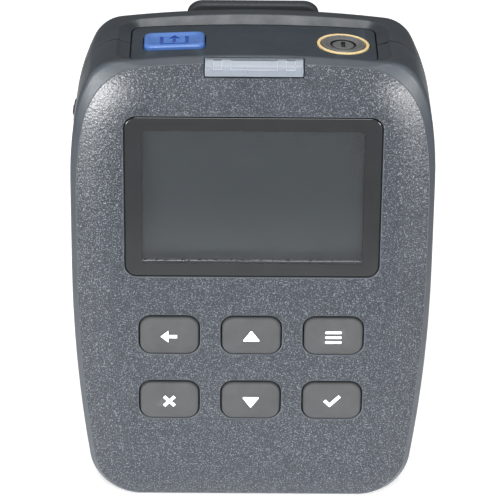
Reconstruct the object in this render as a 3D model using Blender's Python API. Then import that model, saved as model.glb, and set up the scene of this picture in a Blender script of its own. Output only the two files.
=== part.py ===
"""Hand-held code reader standing on its lower end: X right, Y to the back, Z up.

Sizes are in millimetres on the seam plane (Y = 0 where the two shells meet).
The empty case_frame carries everything and centres the whole over the origin.
"""

import math

import bmesh
import bpy
from mathutils import Matrix, Vector

MM = 0.001
GAP = 0.3

# Case
HEIGHT = 126.5
SEAM_SHIFT = -4.7
ARCH_RADIUS = 300.0
# radius, heading where the arc ends, steps; a radius of None is the straight flank
OUTLINE = (
    (ARCH_RADIUS, 6.55, 5),
    (9.0, 62.0, 5),
    (30.0, 80.0, 2),
    (110.0, 90.0, 2),
    (None, 90.0, 1),
    (400.0, 98.0, 3),
    (14.0, 180.0, 5),
)
WALL = 2.6
TOP_SOLID = 7.0
FRONT_Y = -17.0
REAR_Y = 18.0
# depth, inset of the outline, width factor, how far the foot is pulled back down
FRONT_SECTIONS = (
    (-0.15, 0.0, 1.0, 0.0),
    (-14.0, 0.0, 1.0, 0.0),
    (-15.5, 1.5, 1.0, 0.0),
    (-16.2, 3.5, 1.0, 0.0),
    (-16.7, 6.0, 1.0, 0.0),
    (FRONT_Y, 8.5, 1.0, 0.0),
)
REAR_SECTIONS = (
    (0.15, 0.0, 1.0, 0.0),
    (9.0, 0.1, 0.992, 0.1),
    (15.8, 0.7, 0.970, 0.7),
    (17.4, 2.2, 0.965, 0.7),
    (REAR_Y, 3.8, 0.960, 0.7),
)

# Key panel in the top end
RECESS_DEPTH = 2.4
PANEL_THICK = 1.7
SCAN_X, POWER_X, BUTTON_Y = -19.7, 22.0, -0.5
SCAN_SIZE = (14.8, 9.4)
POWER_R, RING_IN, RING_OUT = 5.5, 5.8, 6.55
SCAN_HOLE, POWER_HOLE_R = (7.7, 5.0), 6.85
LENS_HALF, LENS_BACK = 12.1, -14.1
LAMP_SPOTS = (-6.0, 0.0, 6.0)
BUTTON_STEM_R, FLANGE_Z, STEM_Z = 1.8, (-2.75, -2.05), (-4.6, -2.5)
# the switch board's pocket under the panel, shared by both shells
SWITCH_POCKET = ((-29.0, 29.0), (-9.0, 9.0), (HEIGHT - 9.0, HEIGHT - 4.0))

# Front face
WINDOW = (32.0, HEIGHT - 59.5, HEIGHT - 15.5)
VIEW_EDGE = (3.5, 3.0)
WINDOW_CORNER = 3.0
KEY_SIZE, KEY_CORNER, KEY_SKIRT = (15.0, 10.5), 3.0, 1.2
KEY_NAMES = (
    ("key_back", -21.0, 50.0),
    ("key_up", 0.0, 50.0),
    ("key_info", 21.0, 50.0),
    ("key_erase", -21.0, 31.0),
    ("key_down", 0.0, 31.0),
    ("key_enter", 21.0, 31.0),
)
BOARD_HALF, BOARD_Z, BOARD_Y = 30.0, (19.0, HEIGHT - 16.0), (-8.6, -7.0)

# Rear
DOOR = (30.2, 17.4, 56.0, 16.0)
CELL_R, CELL_Y, CELL_NUB_R = 7.25, 8.4, 2.6
CELL_Z = (28.0, 44.0)
CELL_FLAT, CELL_SHOULDER = 25.25, 23.95
CONTACT_X, CONTACT_STUD_R = (28.0, 28.45), 2.2
CLIP_HALF, CLIP_IN, CLIP_OUT, CLIP_LOW = 16.4, 24.8, 27.4, 63.0
CLIP_TOP = HEIGHT - 2.4
HINGE_Y, HINGE_Z, PIN_R, EYE_R = 22.3, HEIGHT - 22.0, 1.2, 2.1
PIN_HOLE_R, LUG_THICK = PIN_R + 0.09, 2.0
CLIP_SCREW_Z = (HINGE_Z - 7.0, HINGE_Z + 9.2)

# Case screws: where they stand, and the radii of their bosses and holes
SCREWS = ((-34.6, HEIGHT - 17.0), (34.6, HEIGHT - 17.0), (-34.0, 12.5), (34.0, 12.5))
BOSS_R, PILOT_R, SHAFT_R, HEAD_HOLE_R = 3.2, 1.15, 1.4, 3.0

# Side port and cable inlet
PORT_LOW, PORT_HIGH = HEIGHT - 38.6, HEIGHT - 23.1
PORT_HINGE_X, PORT_Y = -46.0, 8.0
INLET_HALF, INLET_Y, INLET_DEEP = 23.0, 7.5, 10.6
INLET_BLOCK_HALF, INLET_BLOCK_Y, INLET_BLOCK_Z = 26.0, 10.5, (1.0, 14.0)
JACK_POSTS = (("left", -16.65), ("right", 16.65))
PIN_PITCH, PIN_ROW_Y = 2.63, 1.42

MATERIALS = {
    "case_grey": ((0.075, 0.090, 0.105, 1.0), 0.55, 0.0),
    "panel_dark": ((0.045, 0.055, 0.065, 1.0), 0.6, 0.0),
    "key_blue": ((0.05, 0.18, 0.65, 1.0), 0.3, 0.0),
    "ring_amber": ((0.95, 0.55, 0.2, 1.0), 0.35, 0.0),
    "button_grey": ((0.07, 0.075, 0.08, 1.0), 0.5, 0.0),
    "lens_clear": ((0.75, 0.8, 0.85, 1.0), 0.15, 0.0),
    "window_glass": ((0.02, 0.025, 0.03, 1.0), 0.06, 0.0),
    "rubber": ((0.03, 0.03, 0.033, 1.0), 0.8, 0.0),
    "steel": ((0.6, 0.6, 0.6, 1.0), 0.3, 1.0),
    "brass": ((0.75, 0.55, 0.25, 1.0), 0.3, 1.0),
    "board_green": ((0.02, 0.18, 0.07, 1.0), 0.5, 0.0),
    "chip_black": ((0.015, 0.015, 0.015, 1.0), 0.5, 0.0),
    "film": ((0.45, 0.28, 0.06, 1.0), 0.4, 0.0),
    "cell_skin": ((0.1, 0.1, 0.12, 1.0), 0.35, 0.0),
}


def clear_scene():
    for thing in list(bpy.data.objects):
        bpy.data.objects.remove(thing)


def material(name):
    """The named Principled material, made on first use."""
    found = bpy.data.materials.get(name)
    if found:
        return found
    colour, roughness, metallic = MATERIALS[name]
    made = bpy.data.materials.new(name)
    made.use_nodes = True
    shader = made.node_tree.nodes["Principled BSDF"]
    shader.inputs["Base Color"].default_value = colour
    shader.inputs["Roughness"].default_value = roughness
    shader.inputs["Metallic"].default_value = metallic
    return made


def finish(shape, name, origin, turn=0.0):
    """An object from a bmesh in millimetres, with its origin at the stated point."""
    bmesh.ops.recalc_face_normals(shape, faces=shape.faces)
    bmesh.ops.translate(shape, verts=shape.verts, vec=-Vector(origin))
    bmesh.ops.rotate(shape, verts=shape.verts, matrix=Matrix.Rotation(-turn, 3, "Y"))
    bmesh.ops.scale(shape, verts=shape.verts, vec=(MM, MM, MM))
    mesh = bpy.data.meshes.new(name)
    shape.to_mesh(mesh)
    shape.free()
    for face in mesh.polygons:
        face.use_smooth = True
    mesh.set_sharp_from_angle(angle=math.radians(32))
    made = bpy.data.objects.new(name, mesh)
    made.location = Vector(origin) * MM
    made.rotation_euler = (0.0, turn, 0.0)
    bpy.context.scene.collection.objects.link(made)
    made.parent = case_frame
    return made


def node(shape, name, slot, origin=(0.0, 0.0, 0.0), turn=0.0):
    made = finish(shape, name, origin, turn)
    made.data.materials.append(material(slot))
    return made


def boolean(target, shape, operation):
    """Cuts a shape from the target, or joins it on."""
    label = f"{operation.lower()}_{target.name}_{len(target.modifiers)}"
    tool = finish(shape, label, (0.0, 0.0, 0.0))
    tool.hide_render = True
    tool.display_type = "WIRE"
    step = target.modifiers.new(label, "BOOLEAN")
    step.operation = operation
    step.solver = "EXACT"
    step.object = tool


def cut(target, *shapes):
    for shape in shapes:
        boolean(target, shape, "DIFFERENCE")


def join(target, *shapes):
    for shape in shapes:
        boolean(target, shape, "UNION")


def merged(*shapes):
    """Several shapes that don't touch, as one."""
    whole = bmesh.new()
    for shape in shapes:
        held = bpy.data.meshes.new("held")
        shape.to_mesh(held)
        shape.free()
        whole.from_mesh(held)
        bpy.data.meshes.remove(held)
    return whole


def loft(rings):
    """A closed solid through rings of equal length, each a list of 3-D points."""
    shape = bmesh.new()
    rows = [[shape.verts.new(point) for point in ring] for ring in rings]
    count = len(rows[0])
    for near, far in zip(rows, rows[1:]):
        for i in range(count):
            j = (i + 1) % count
            shape.faces.new((near[i], near[j], far[j], far[i]))
    shape.faces.new(rows[0])
    shape.faces.new(rows[-1])
    return shape


def prism(points, low, high, axis="Z"):
    """A polygon drawn on the other two axes and extruded between two levels."""
    place = {
        "X": lambda a, b, level: (level, a, b),
        "Y": lambda a, b, level: (a, level, b),
        "Z": lambda a, b, level: (a, b, level),
    }[axis]
    return loft([[place(a, b, level) for a, b in points] for level in (low, high)])


def box(x, y, z):
    return prism(((x[0], y[0]), (x[1], y[0]), (x[1], y[1]), (x[0], y[1])), *z)


def circle(radius, steps, centre=(0.0, 0.0)):
    turn = 2 * math.pi / steps
    return [
        (centre[0] + radius * math.cos(i * turn), centre[1] + radius * math.sin(i * turn))
        for i in range(steps)
    ]


def rod(radius, low, high, centre, axis="Y", steps=16):
    return prism(circle(radius, steps, centre), low, high, axis)


def rounded(half_w, half_h, radius, steps=3, centre=(0.0, 0.0)):
    points = []
    for quarter, (sx, sy) in enumerate(((1, 1), (-1, 1), (-1, -1), (1, -1))):
        for i in range(steps + 1):
            angle = math.pi / 2 * (quarter + i / steps)
            points.append(
                (
                    centre[0] + sx * (half_w - radius) + radius * math.cos(angle),
                    centre[1] + sy * (half_h - radius) + radius * math.sin(angle),
                )
            )
    return points


def coil(radii, pitch, turns, wire, per_turn=10, sides=5):
    """A helix of wire along +X, from the first radius to the second."""
    shape = bmesh.new()
    steps = int(turns * per_turn)
    rings = []
    for i in range(steps + 1):
        angle = 2 * math.pi * i / per_turn
        radius = radii[0] + (radii[1] - radii[0]) * i / steps
        out = Vector((0.0, math.cos(angle), math.sin(angle)))
        centre = out * radius + Vector((pitch * i / per_turn, 0.0, 0.0))
        ring = []
        for k in range(sides):
            around = 2 * math.pi * k / sides
            offset = out * math.cos(around) + Vector((1, 0, 0)) * math.sin(around)
            ring.append(shape.verts.new(centre + offset * wire))
        rings.append(ring)
    for near, far in zip(rings, rings[1:]):
        for k in range(sides):
            m = (k + 1) % sides
            shape.faces.new((near[k], near[m], far[m], far[k]))
    shape.faces.new(rings[0])
    shape.faces.new(rings[-1])
    return shape


def moved(shape, x=0.0, y=0.0, z=0.0):
    bmesh.ops.translate(shape, verts=shape.verts, vec=(x, y, z))
    return shape


def half_outline(inset):
    """Points from the top centre round to the foot, for the case outline moved inwards."""
    rise = 0.0
    heading = 0.0
    for radius, end, _ in OUTLINE:
        if radius:
            rise += radius * (math.cos(heading) - math.cos(math.radians(end)))
        heading = math.radians(end)
    flank = HEIGHT - rise
    x, z, heading = 0.0, HEIGHT - inset, 0.0
    points = [(x, z)]
    for radius, end, steps in OUTLINE:
        if radius is None:
            z -= flank
            points.append((x, z))
            continue
        left = radius - inset
        span = math.radians(end) - heading
        for i in range(1, steps + 1):
            angle = heading + span * i / steps
            points.append(
                (
                    x + left * (math.sin(angle) - math.sin(heading)),
                    z - left * (math.cos(heading) - math.cos(angle)),
                )
            )
        heading += span
        x, z = points[-1]
    return points


def case_ring(depth, inset, width=1.0, settle=0.0, ceiling=HEIGHT):
    """The case outline at one depth."""
    right = half_outline(inset)
    points = right + [(-x, z) for x, z in reversed(right[1:])]
    ring = []
    for x, z in points:
        low = z - settle * (1 - z / HEIGHT)
        ring.append((x * width, depth, min(low, ceiling)))
    return ring


def arch_drop(x):
    return ARCH_RADIUS - math.sqrt(ARCH_RADIUS**2 - x**2)


def arched_plug(rings, inner_steps=8, corner_steps=3):
    """A rounded block whose levels follow the arch of the top end.

    Each ring is (half width, front y, back y, corner radius, depth below the top).
    """
    shape = bmesh.new()
    rows = []
    for half, front, back, radius, depth in rings:
        left = []
        for i in range(corner_steps + 1):
            angle = math.pi / 2 * i / corner_steps
            left.append((-half + radius * (1 - math.cos(angle)), radius * (1 - math.sin(angle))))
        stations = list(left)
        for i in range(1, inner_steps):
            stations.append(((half - radius) * (2 * i / inner_steps - 1), 0.0))
        stations += [(-x, dip) for x, dip in reversed(left)]
        near, far = [], []
        for x, dip in stations:
            z = HEIGHT - depth - arch_drop(x)
            near.append(shape.verts.new((x, front + dip, z)))
            far.append(shape.verts.new((x, back - dip, z)))
        rows.append((near, far))
    count = len(rows[0][0])
    for near, far in (rows[0], rows[-1]):
        for i in range(count - 1):
            shape.faces.new((near[i], near[i + 1], far[i + 1], far[i]))
    for (near_a, far_a), (near_b, far_b) in zip(rows, rows[1:]):
        for i in range(count - 1):
            shape.faces.new((near_a[i], near_a[i + 1], near_b[i + 1], near_b[i]))
            shape.faces.new((far_a[i], far_a[i + 1], far_b[i + 1], far_b[i]))
        for i in (0, -1):
            shape.faces.new((near_a[i], far_a[i], far_b[i], near_b[i]))
    return shape


def recess_cutter():
    deep = RECESS_DEPTH + PANEL_THICK + GAP
    return arched_plug(
        (
            (37.3, -13.9, 14.0, 6.5, -2.4),
            (34.1, -13.0, 12.1, 5.5, 0.0),
            (30.9, -11.4, 10.5, 3.0, RECESS_DEPTH),
            (30.9, -11.4, 10.5, 3.0, deep),
        )
    )


def lens_notch():
    return box((-LENS_HALF - GAP, LENS_HALF + GAP), (-20.0, LENS_BACK), (HEIGHT - 5.1, HEIGHT + 2.0))


def build_front_shell():
    shell = node(
        loft([case_ring(*section) for section in FRONT_SECTIONS]), "front_shell", "case_grey"
    )
    hollow = [
        case_ring(depth, WALL, 1.0, 0.0, HEIGHT - TOP_SOLID) for depth in (1.0, FRONT_Y + 2.8)
    ]
    cut(shell, loft(hollow))
    bosses = [rod(BOSS_R, -15.0, -GAP, spot, steps=12) for spot in SCREWS]
    inlet_block = box(
        (-INLET_BLOCK_HALF, INLET_BLOCK_HALF), (-INLET_BLOCK_Y, -GAP / 2), INLET_BLOCK_Z
    )
    join(shell, merged(*bosses), inlet_block)
    half, low, high = WINDOW
    middle = (low + high) / 2
    seat = rounded(
        half + GAP, (high - low) / 2 + GAP, WINDOW_CORNER + GAP, centre=(0.0, middle)
    )
    view = rounded(half - VIEW_EDGE[0], (high - low) / 2 - VIEW_EDGE[1], 1.0, 1, (0.0, middle))
    key_half = (KEY_SIZE[0] / 2 + GAP, KEY_SIZE[1] / 2 + GAP, KEY_CORNER + GAP)
    keys = [prism(rounded(*key_half, 3, (x, z)), -20.0, -12.0, "Y") for _, x, z in KEY_NAMES]
    cut(shell, recess_cutter(), lens_notch())
    cut(shell, box(*SWITCH_POCKET))
    cut(shell, box((-9.5, 9.5), (-14.3, -12.2), (HEIGHT - 9.0, HEIGHT - 2.8)))
    cut(shell, prism(seat, -20.0, FRONT_Y + 1.7, "Y"), prism(view, -18.0, -12.0, "Y"), merged(*keys))
    cut(shell, merged(*[rod(PILOT_R, -9.0, 1.0, spot, steps=10) for spot in SCREWS]))
    cut(shell, inlet_pocket(), inlet_slot())


def inlet_pocket():
    return box((-INLET_HALF, INLET_HALF), (-INLET_Y, INLET_Y), (-2.0, INLET_DEEP))


def inlet_slot():
    return box((-13.2, 13.2), (-4.8, 4.8), (INLET_DEEP - 1.0, 18.6))


def build_rear_shell():
    shell = node(
        loft([case_ring(*section) for section in REAR_SECTIONS]), "rear_shell", "case_grey"
    )
    hollow = [
        case_ring(-1.0, WALL, 1.0, 0.0, HEIGHT - TOP_SOLID),
        case_ring(REAR_Y - 2.4, 3.2, 0.965, 0.0, HEIGHT - TOP_SOLID),
    ]
    cut(shell, loft(hollow))
    bosses = [rod(BOSS_R, GAP, 16.5, spot, steps=12) for spot in SCREWS]
    inlet_block = box((-INLET_BLOCK_HALF, INLET_BLOCK_HALF), (GAP / 2, INLET_BLOCK_Y), INLET_BLOCK_Z)
    tub = box((-32.0, 32.0), (-1.2, 16.6), (15.6, 57.6))
    join(shell, merged(*bosses), inlet_block, tub)
    half, low, high, inner = DOOR
    rebate = box((-half - GAP, half + GAP), (inner - 0.2, 20.0), (low - GAP, high + GAP))
    cut(shell, rebate, box((-28.8, 28.8), (0.8, 17.0), (19.8, 52.4)))
    cut(shell, box((-4.5, 4.5), (14.0, 17.0), (52.0, 54.6)))
    cut(shell, recess_cutter())
    cut(shell, box(*SWITCH_POCKET))
    cut(shell, merged(*[rod(SHAFT_R, -1.0, 15.2, spot, steps=10) for spot in SCREWS]))
    cut(shell, merged(*[rod(HEAD_HOLE_R, 14.4, 20.0, spot, steps=16) for spot in SCREWS]))
    cut(shell, merged(*[rod(1.3, 14.0, 20.0, (0.0, z), steps=10) for z in CLIP_SCREW_Z]))
    cut(shell, box((-50.0, -44.0), (4.2, 11.8), (PORT_LOW - GAP, PORT_HIGH + GAP)))
    cut(shell, box((-45.0, -38.0), (5.4, 10.6), (PORT_LOW + 2.8, PORT_HIGH - 2.8)))
    cut(shell, inlet_pocket(), inlet_slot())


def build_top_panel():
    top, low = RECESS_DEPTH, RECESS_DEPTH + PANEL_THICK
    edge = (30.6, -11.1, 10.2, 2.7)
    panel = node(arched_plug(((*edge, top), (*edge, low))), "top_panel", "panel_dark")
    through = (HEIGHT - 12.0, HEIGHT + 2.0)
    seat = prism(rounded(*SCAN_HOLE, 1.8, 3, (SCAN_X, BUTTON_Y)), *through)
    cut(panel, merged(seat, rod(POWER_HOLE_R, *through, (POWER_X, BUTTON_Y), "Z", 28)))


def build_buttons():
    """The two top buttons, square to the arch where they stand."""
    for name, x in (("scan_button", SCAN_X), ("power_button", POWER_X)):
        tilt = math.asin(x / ARCH_RADIUS)
        surface = HEIGHT - RECESS_DEPTH - arch_drop(x)
        spot = (x, BUTTON_Y, surface)
        if name == "scan_button":
            width, depth = SCAN_SIZE
            rings = (
                (width / 2, depth / 2, 1.5, -2.2),
                (width / 2, depth / 2, 1.5, 0.5),
                (width / 2 - 0.5, depth / 2 - 0.5, 1.0, 1.0),
                (width / 2 - 1.3, depth / 2 - 1.3, 0.6, 0.8),
            )
            levels = [[(a, b, z) for a, b in rounded(w, d, r)] for w, d, r, z in rings]
            flange = box((-8.4, 8.4), (-5.7, 5.7), FLANGE_Z)
            slot = "key_blue"
        else:
            rings = ((POWER_R, -2.2), (POWER_R, 0.1), (POWER_R - 0.5, 0.4), (2.6, -0.1))
            levels = [[(a, b, z) for a, b in circle(r, 24)] for r, z in rings]
            flange = rod(6.2, *FLANGE_Z, (0.0, 0.0), "Z", 20)
            slot = "button_grey"
        # drawn upright at the origin, then carried to its seat
        button = node(loft(levels), name, slot)
        join_local(button, flange)
        join_local(button, rod(BUTTON_STEM_R, *STEM_Z, (0.0, 0.0), "Z", 12))
        button.location = Vector(spot) * MM
        button.rotation_euler = (0.0, tilt, 0.0)
        if name == "power_button":
            place_ring(spot, tilt)


def join_local(target, shape):
    """Joins a shape drawn about the target's own origin, and ties it to the target."""
    join(target, shape)
    tool = target.modifiers[-1].object
    tool.parent = target


def place_ring(spot, tilt):
    outer, inner = circle(RING_OUT, 28), circle(RING_IN, 28)
    ring = node(prism(outer, -1.7, 0.25), "power_ring", "ring_amber")
    cut(ring, prism(inner, -3.0, 2.0))
    ring.modifiers[-1].object.parent = ring
    ring.location = Vector(spot) * MM
    ring.rotation_euler = (0.0, tilt, 0.0)


def build_light_bar():
    top = HEIGHT - 0.7
    profile = (
        (-14.4, top),
        (-14.8, top),
        (-16.5, top - 1.6),
        (-16.6, HEIGHT - 4.8),
        (-14.4, HEIGHT - 4.8),
    )
    node(prism(profile, -LENS_HALF, LENS_HALF, "X"), "light_bar", "lens_clear")
    strip = node(
        box((-9.2, 9.2), (-13.1, -12.5), (HEIGHT - 8.7, HEIGHT - 3.1)), "light_board", "board_green"
    )
    lamps = [
        box((x - 1.4, x + 1.4), (-13.9, -12.9), (HEIGHT - 5.0, HEIGHT - 3.6)) for x in LAMP_SPOTS
    ]
    join(strip, merged(*lamps))


def build_window():
    half, low, high = WINDOW
    middle = (low + high) / 2
    pane = rounded(half, (high - low) / 2, WINDOW_CORNER, centre=(0.0, middle))
    node(prism(pane, FRONT_Y + 0.1, FRONT_Y + 1.4, "Y"), "display_window", "window_glass")
    tray = node(box((-30.0, 30.0), (-13.9, -9.4), (low + 1.0, high - 1.0)), "display_tray", "steel")
    cut(tray, box((-28.3, 28.3), (-15.0, -10.4), (low + 2.7, high - 2.7)))
    panel = box((-28.0, 28.0), (-13.7, -10.7), (low + 3.0, high - 3.0))
    node(panel, "display_panel", "window_glass")
    bend = (
        (-11.3, low + 0.7),
        (-11.3, low - 2.7),
        (-9.2, low - 2.7),
        (-9.2, low - 2.4),
        (-11.0, low - 2.4),
        (-11.0, low + 0.7),
    )
    node(prism(bend, -9.0, 9.0, "X"), "display_ribbon", "film")


def build_keys():
    for name, x, z in KEY_NAMES:
        half_w, half_h = KEY_SIZE[0] / 2, KEY_SIZE[1] / 2
        steps = ((-13.5, 0.0), (FRONT_Y - 0.6, 0.0), (FRONT_Y - 1.0, 0.7))
        rings = []
        for y, shrink in steps:
            outline = rounded(half_w - shrink, half_h - shrink, KEY_CORNER - shrink, 3, (x, z))
            rings.append([(a, y, b) for a, b in outline])
        key = node(loft(rings), name, "rubber")
        skirt = rounded(half_w + KEY_SKIRT, half_h + KEY_SKIRT, 4.0, 2, (x, z))
        flange = prism(skirt, -13.9, -13.0, "Y")
        join(key, flange, rod(2.0, -13.3, -10.2, (x, z), steps=10))
    sheet = node(box((-29.0, 29.0), (-9.1, -8.9), (23.0, 59.0)), "dome_sheet", "film")
    join(sheet, merged(*[rod(3.5, -9.4, -9.0, (x, z), steps=10) for _, x, z in KEY_NAMES]))


def build_boards():
    node(box((-BOARD_HALF, BOARD_HALF), BOARD_Y, BOARD_Z), "main_board", "board_green")
    rest = BOARD_Y[1] + 0.05
    chips = (
        ("processor", (-15.0, -1.0), (rest, rest + 1.6), (80.0, 94.0), "chip_black"),
        ("memory_chip", (5.0, 15.0), (rest, rest + 1.2), (86.0, 92.0), "chip_black"),
        ("bus_transceiver", (12.0, 18.0), (rest, rest + 1.5), (24.0, 29.0), "chip_black"),
        ("power_inductor", (-22.0, -15.0), (rest, rest + 3.0), (62.0, 69.0), "chip_black"),
        ("crystal", (-2.0, 9.0), (rest, rest + 3.4), (98.0, 102.6), "steel"),
    )
    for name, x, y, z, slot in chips:
        node(box(x, y, z), name, slot)
    node(rod(6.0, rest, rest + 5.5, (18.0, 66.0), steps=20), "buzzer", "chip_black")
    top = HEIGHT - 11.2
    node(box((-27.0, 27.0), (-8.0, 8.0), (top - 1.2, top)), "switch_board", "board_green")
    for name, x in (("scan_switch", SCAN_X), ("power_switch", POWER_X)):
        body = box((x - 3.0, x + 3.0), (BUTTON_Y - 3.0, BUTTON_Y + 3.0), (top + 0.05, top + 1.9))
        switch = node(body, name, "chip_black")
        join(switch, rod(1.6, top + 1.5, top + 2.3, (x, BUTTON_Y), "Z", 12))


def d_shape(grow):
    """The connector's D outline: 25 wide, 8.4 deep, narrower at the back."""
    points = []
    corners = ((10.2, 2.0), (-10.2, 2.0), (-9.4, -2.0), (9.4, -2.0))
    radius = 2.2 + grow
    for quarter, (x, y) in enumerate(corners):
        for i in range(4):
            angle = math.pi / 2 * (quarter + i / 3)
            points.append((x + radius * math.cos(angle), y + radius * math.sin(angle)))
    return points


def pin_spots():
    upper = [((i - 3.5) * PIN_PITCH, PIN_ROW_Y) for i in range(8)]
    lower = [((i - 3.0) * PIN_PITCH, -PIN_ROW_Y) for i in range(7)]
    return upper + lower


def build_inlet():
    flange = node(box((-19.6, 19.6), (-6.25, 6.25), (9.3, 10.3)), "inlet_shell", "steel")
    join(flange, prism(d_shape(0.0), 4.8, 9.8))
    cut(flange, prism(d_shape(-0.5), 4.0, 11.0))
    for _, x in JACK_POSTS:
        cut(flange, rod(1.6, 8.0, 12.0, (x, 0.0), "Z", 12))
    body = node(prism(d_shape(-0.8), 8.4, 16.4), "inlet_body", "chip_black")
    holes = [rod(0.62, 7.0, 18.0, spot, "Z", 8) for spot in pin_spots()]
    cut(body, merged(*holes))
    pins = [rod(0.45, 5.4, 17.0, spot, "Z", 8) for spot in pin_spots()]
    carrier = node(box((-10.5, 10.5), (-2.6, 2.6), (16.7, 17.5)), "inlet_pins", "brass")
    join(carrier, merged(*pins))
    for side, x in JACK_POSTS:
        post = node(rod(2.4, 5.0, 9.0, (x, 0.0), "Z", 6), f"jack_post_{side}", "steel")
        join(post, rod(1.4, 8.5, 10.5, (x, 0.0), "Z", 12))
        cut(post, rod(1.3, 3.0, 8.0, (x, 0.0), "Z", 10))


def build_port():
    low, high = PORT_LOW, PORT_HIGH
    profile = (
        (-44.3, low),
        (-45.9, low),
        (-46.2, low + 0.6),
        (-46.2, high - 1.6),
        (-45.6, high),
        (-44.3, high),
    )
    hinge = (PORT_HINGE_X, PORT_Y, low)
    cover = node(prism(profile, PORT_Y - 3.5, PORT_Y + 3.5, "Y"), "port_cover", "rubber", hinge)
    plug = box((-44.6, -43.0), (6.2, 9.8), (low + 4.2, high - 4.2))
    join(cover, plug)
    cover.modifiers[-1].object.parent = cover
    cover.modifiers[-1].object.location = -Vector(hinge) * MM
    socket = node(
        box((-42.6, -35.0), (PORT_Y - 2.0, PORT_Y + 2.0), (low + 3.9, high - 3.9)), "usb_socket", "steel"
    )
    cut(socket, box((-44.0, -36.5), (6.5, 9.5), (low + 4.4, high - 4.4)))
    node(box((-41.0, -32.0), (4.2, 5.7), (low + 1.5, high - 1.5)), "usb_board", "board_green")


def build_battery():
    half, low, high, inner = DOOR
    hinge = (0.0, REAR_Y, low)
    door = node(box((-half, half), (inner, REAR_Y), (low, high)), "battery_door", "case_grey", hinge)
    hook = box((-4.0, 4.0), (14.6, inner + 0.5), (52.8, 54.2))
    join(door, hook)
    door.modifiers[-1].object.parent = door
    door.modifiers[-1].object.location = -Vector(hinge) * MM
    for name, z, way in (("cell_lower", CELL_Z[0], 1), ("cell_upper", CELL_Z[1], -1)):
        body = sorted((-CELL_FLAT * way, CELL_SHOULDER * way))
        cell = node(rod(CELL_R, *body, (CELL_Y, z), "X", 24), name, "cell_skin")
        nub = sorted(((CELL_SHOULDER - 1.0) * way, CELL_FLAT * way))
        join(cell, rod(CELL_NUB_R, *nub, (CELL_Y, z), "X", 12))
    spring = dict(radii=(4.6, 2.4), pitch=0.95, turns=2.6, wire=0.3)
    near_x, far_x = CONTACT_X
    stud = (25.6, 28.2)
    plate_y = (CELL_Y - 5.0, CELL_Y + 5.0)
    bridge = node(box(CONTACT_X, plate_y, (22.5, 49.5)), "contact_bridge", "steel")
    join(bridge, rod(CONTACT_STUD_R, *stud, (CELL_Y, CELL_Z[0]), "X", 12))
    mirrored = coil(**spring)
    bmesh.ops.scale(mirrored, verts=mirrored.verts, vec=(-1.0, 1.0, 1.0))
    join(bridge, moved(mirrored, 28.15, CELL_Y, CELL_Z[1]))
    minus = node(box((-far_x, -near_x), plate_y, (22.5, 33.5)), "contact_minus", "steel")
    join(minus, moved(coil(**spring), -28.15, CELL_Y, CELL_Z[0]))
    plus = node(box((-far_x, -near_x), plate_y, (38.5, 49.5)), "contact_plus", "steel")
    join(plus, rod(CONTACT_STUD_R, -stud[1], -stud[0], (CELL_Y, CELL_Z[1]), "X", 12))


def eye(side, root_y, steps=8):
    """A lug round the hinge pin: half a circle on one side, straight to its root on the other."""
    points = []
    for i in range(steps + 1):
        angle = math.pi * i / steps
        points.append(
            (HINGE_Y + side * EYE_R * math.sin(angle), HINGE_Z + EYE_R * math.cos(angle))
        )
    return points + [(root_y, HINGE_Z - EYE_R), (root_y, HINGE_Z + EYE_R)]


def build_clip():
    profile = (
        (CLIP_OUT, CLIP_TOP - 0.9),
        (CLIP_OUT - 0.9, CLIP_TOP),
        (CLIP_IN + 0.9, CLIP_TOP),
        (CLIP_IN, CLIP_TOP - 0.9),
        (CLIP_IN, CLIP_LOW + 8.0),
        (18.7, CLIP_LOW + 3.0),
        (18.7, CLIP_LOW + 1.6),
        (20.6, CLIP_LOW),
        (26.2, CLIP_LOW),
        (CLIP_OUT, CLIP_LOW + 1.2),
    )
    pivot = (0.0, HINGE_Y, HINGE_Z)
    clip = node(prism(profile, -CLIP_HALF, CLIP_HALF, "X"), "belt_clip", "case_grey", pivot)
    middle = (CLIP_LOW + CLIP_TOP) / 2
    face = rounded(CLIP_HALF, (CLIP_TOP - CLIP_LOW) / 2, 3.5, 4, (0.0, middle))
    boolean(clip, prism(face, 15.0, 30.0, "Y"), "INTERSECT")
    cheeks = [prism(eye(-1, 25.4), x, x + LUG_THICK, "X") for x in (-12.4, 10.4)]
    join(clip, merged(*cheeks))
    cut(clip, rod(PIN_HOLE_R, -15.0, 15.0, (HINGE_Y, HINGE_Z), "X", 20))
    for step in clip.modifiers:
        step.object.parent = clip
        step.object.location = -Vector(pivot) * MM
    plate = box((-13.5, 13.5), (18.3, 19.8), (HINGE_Z - 10.0, HINGE_Z + 12.0))
    bracket = node(plate, "clip_bracket", "case_grey")
    ears = [prism(eye(1, 19.4), x, x + LUG_THICK, "X") for x in (-10.0, 8.0)]
    join(bracket, merged(*ears))
    cut(bracket, rod(PIN_HOLE_R, -15.0, 15.0, (HINGE_Y, HINGE_Z), "X", 20))
    cut(bracket, merged(*[rod(1.4, 17.0, 21.0, (0.0, z), steps=12) for z in CLIP_SCREW_Z]))
    node(rod(PIN_R, -13.4, 13.4, (HINGE_Y, HINGE_Z), "X", 20), "clip_pin", "steel")
    wound = coil((1.95, 1.95), 1.1, 9.0, 0.32)
    node(moved(wound, -4.95, HINGE_Y, HINGE_Z), "clip_spring", "steel")


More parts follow.
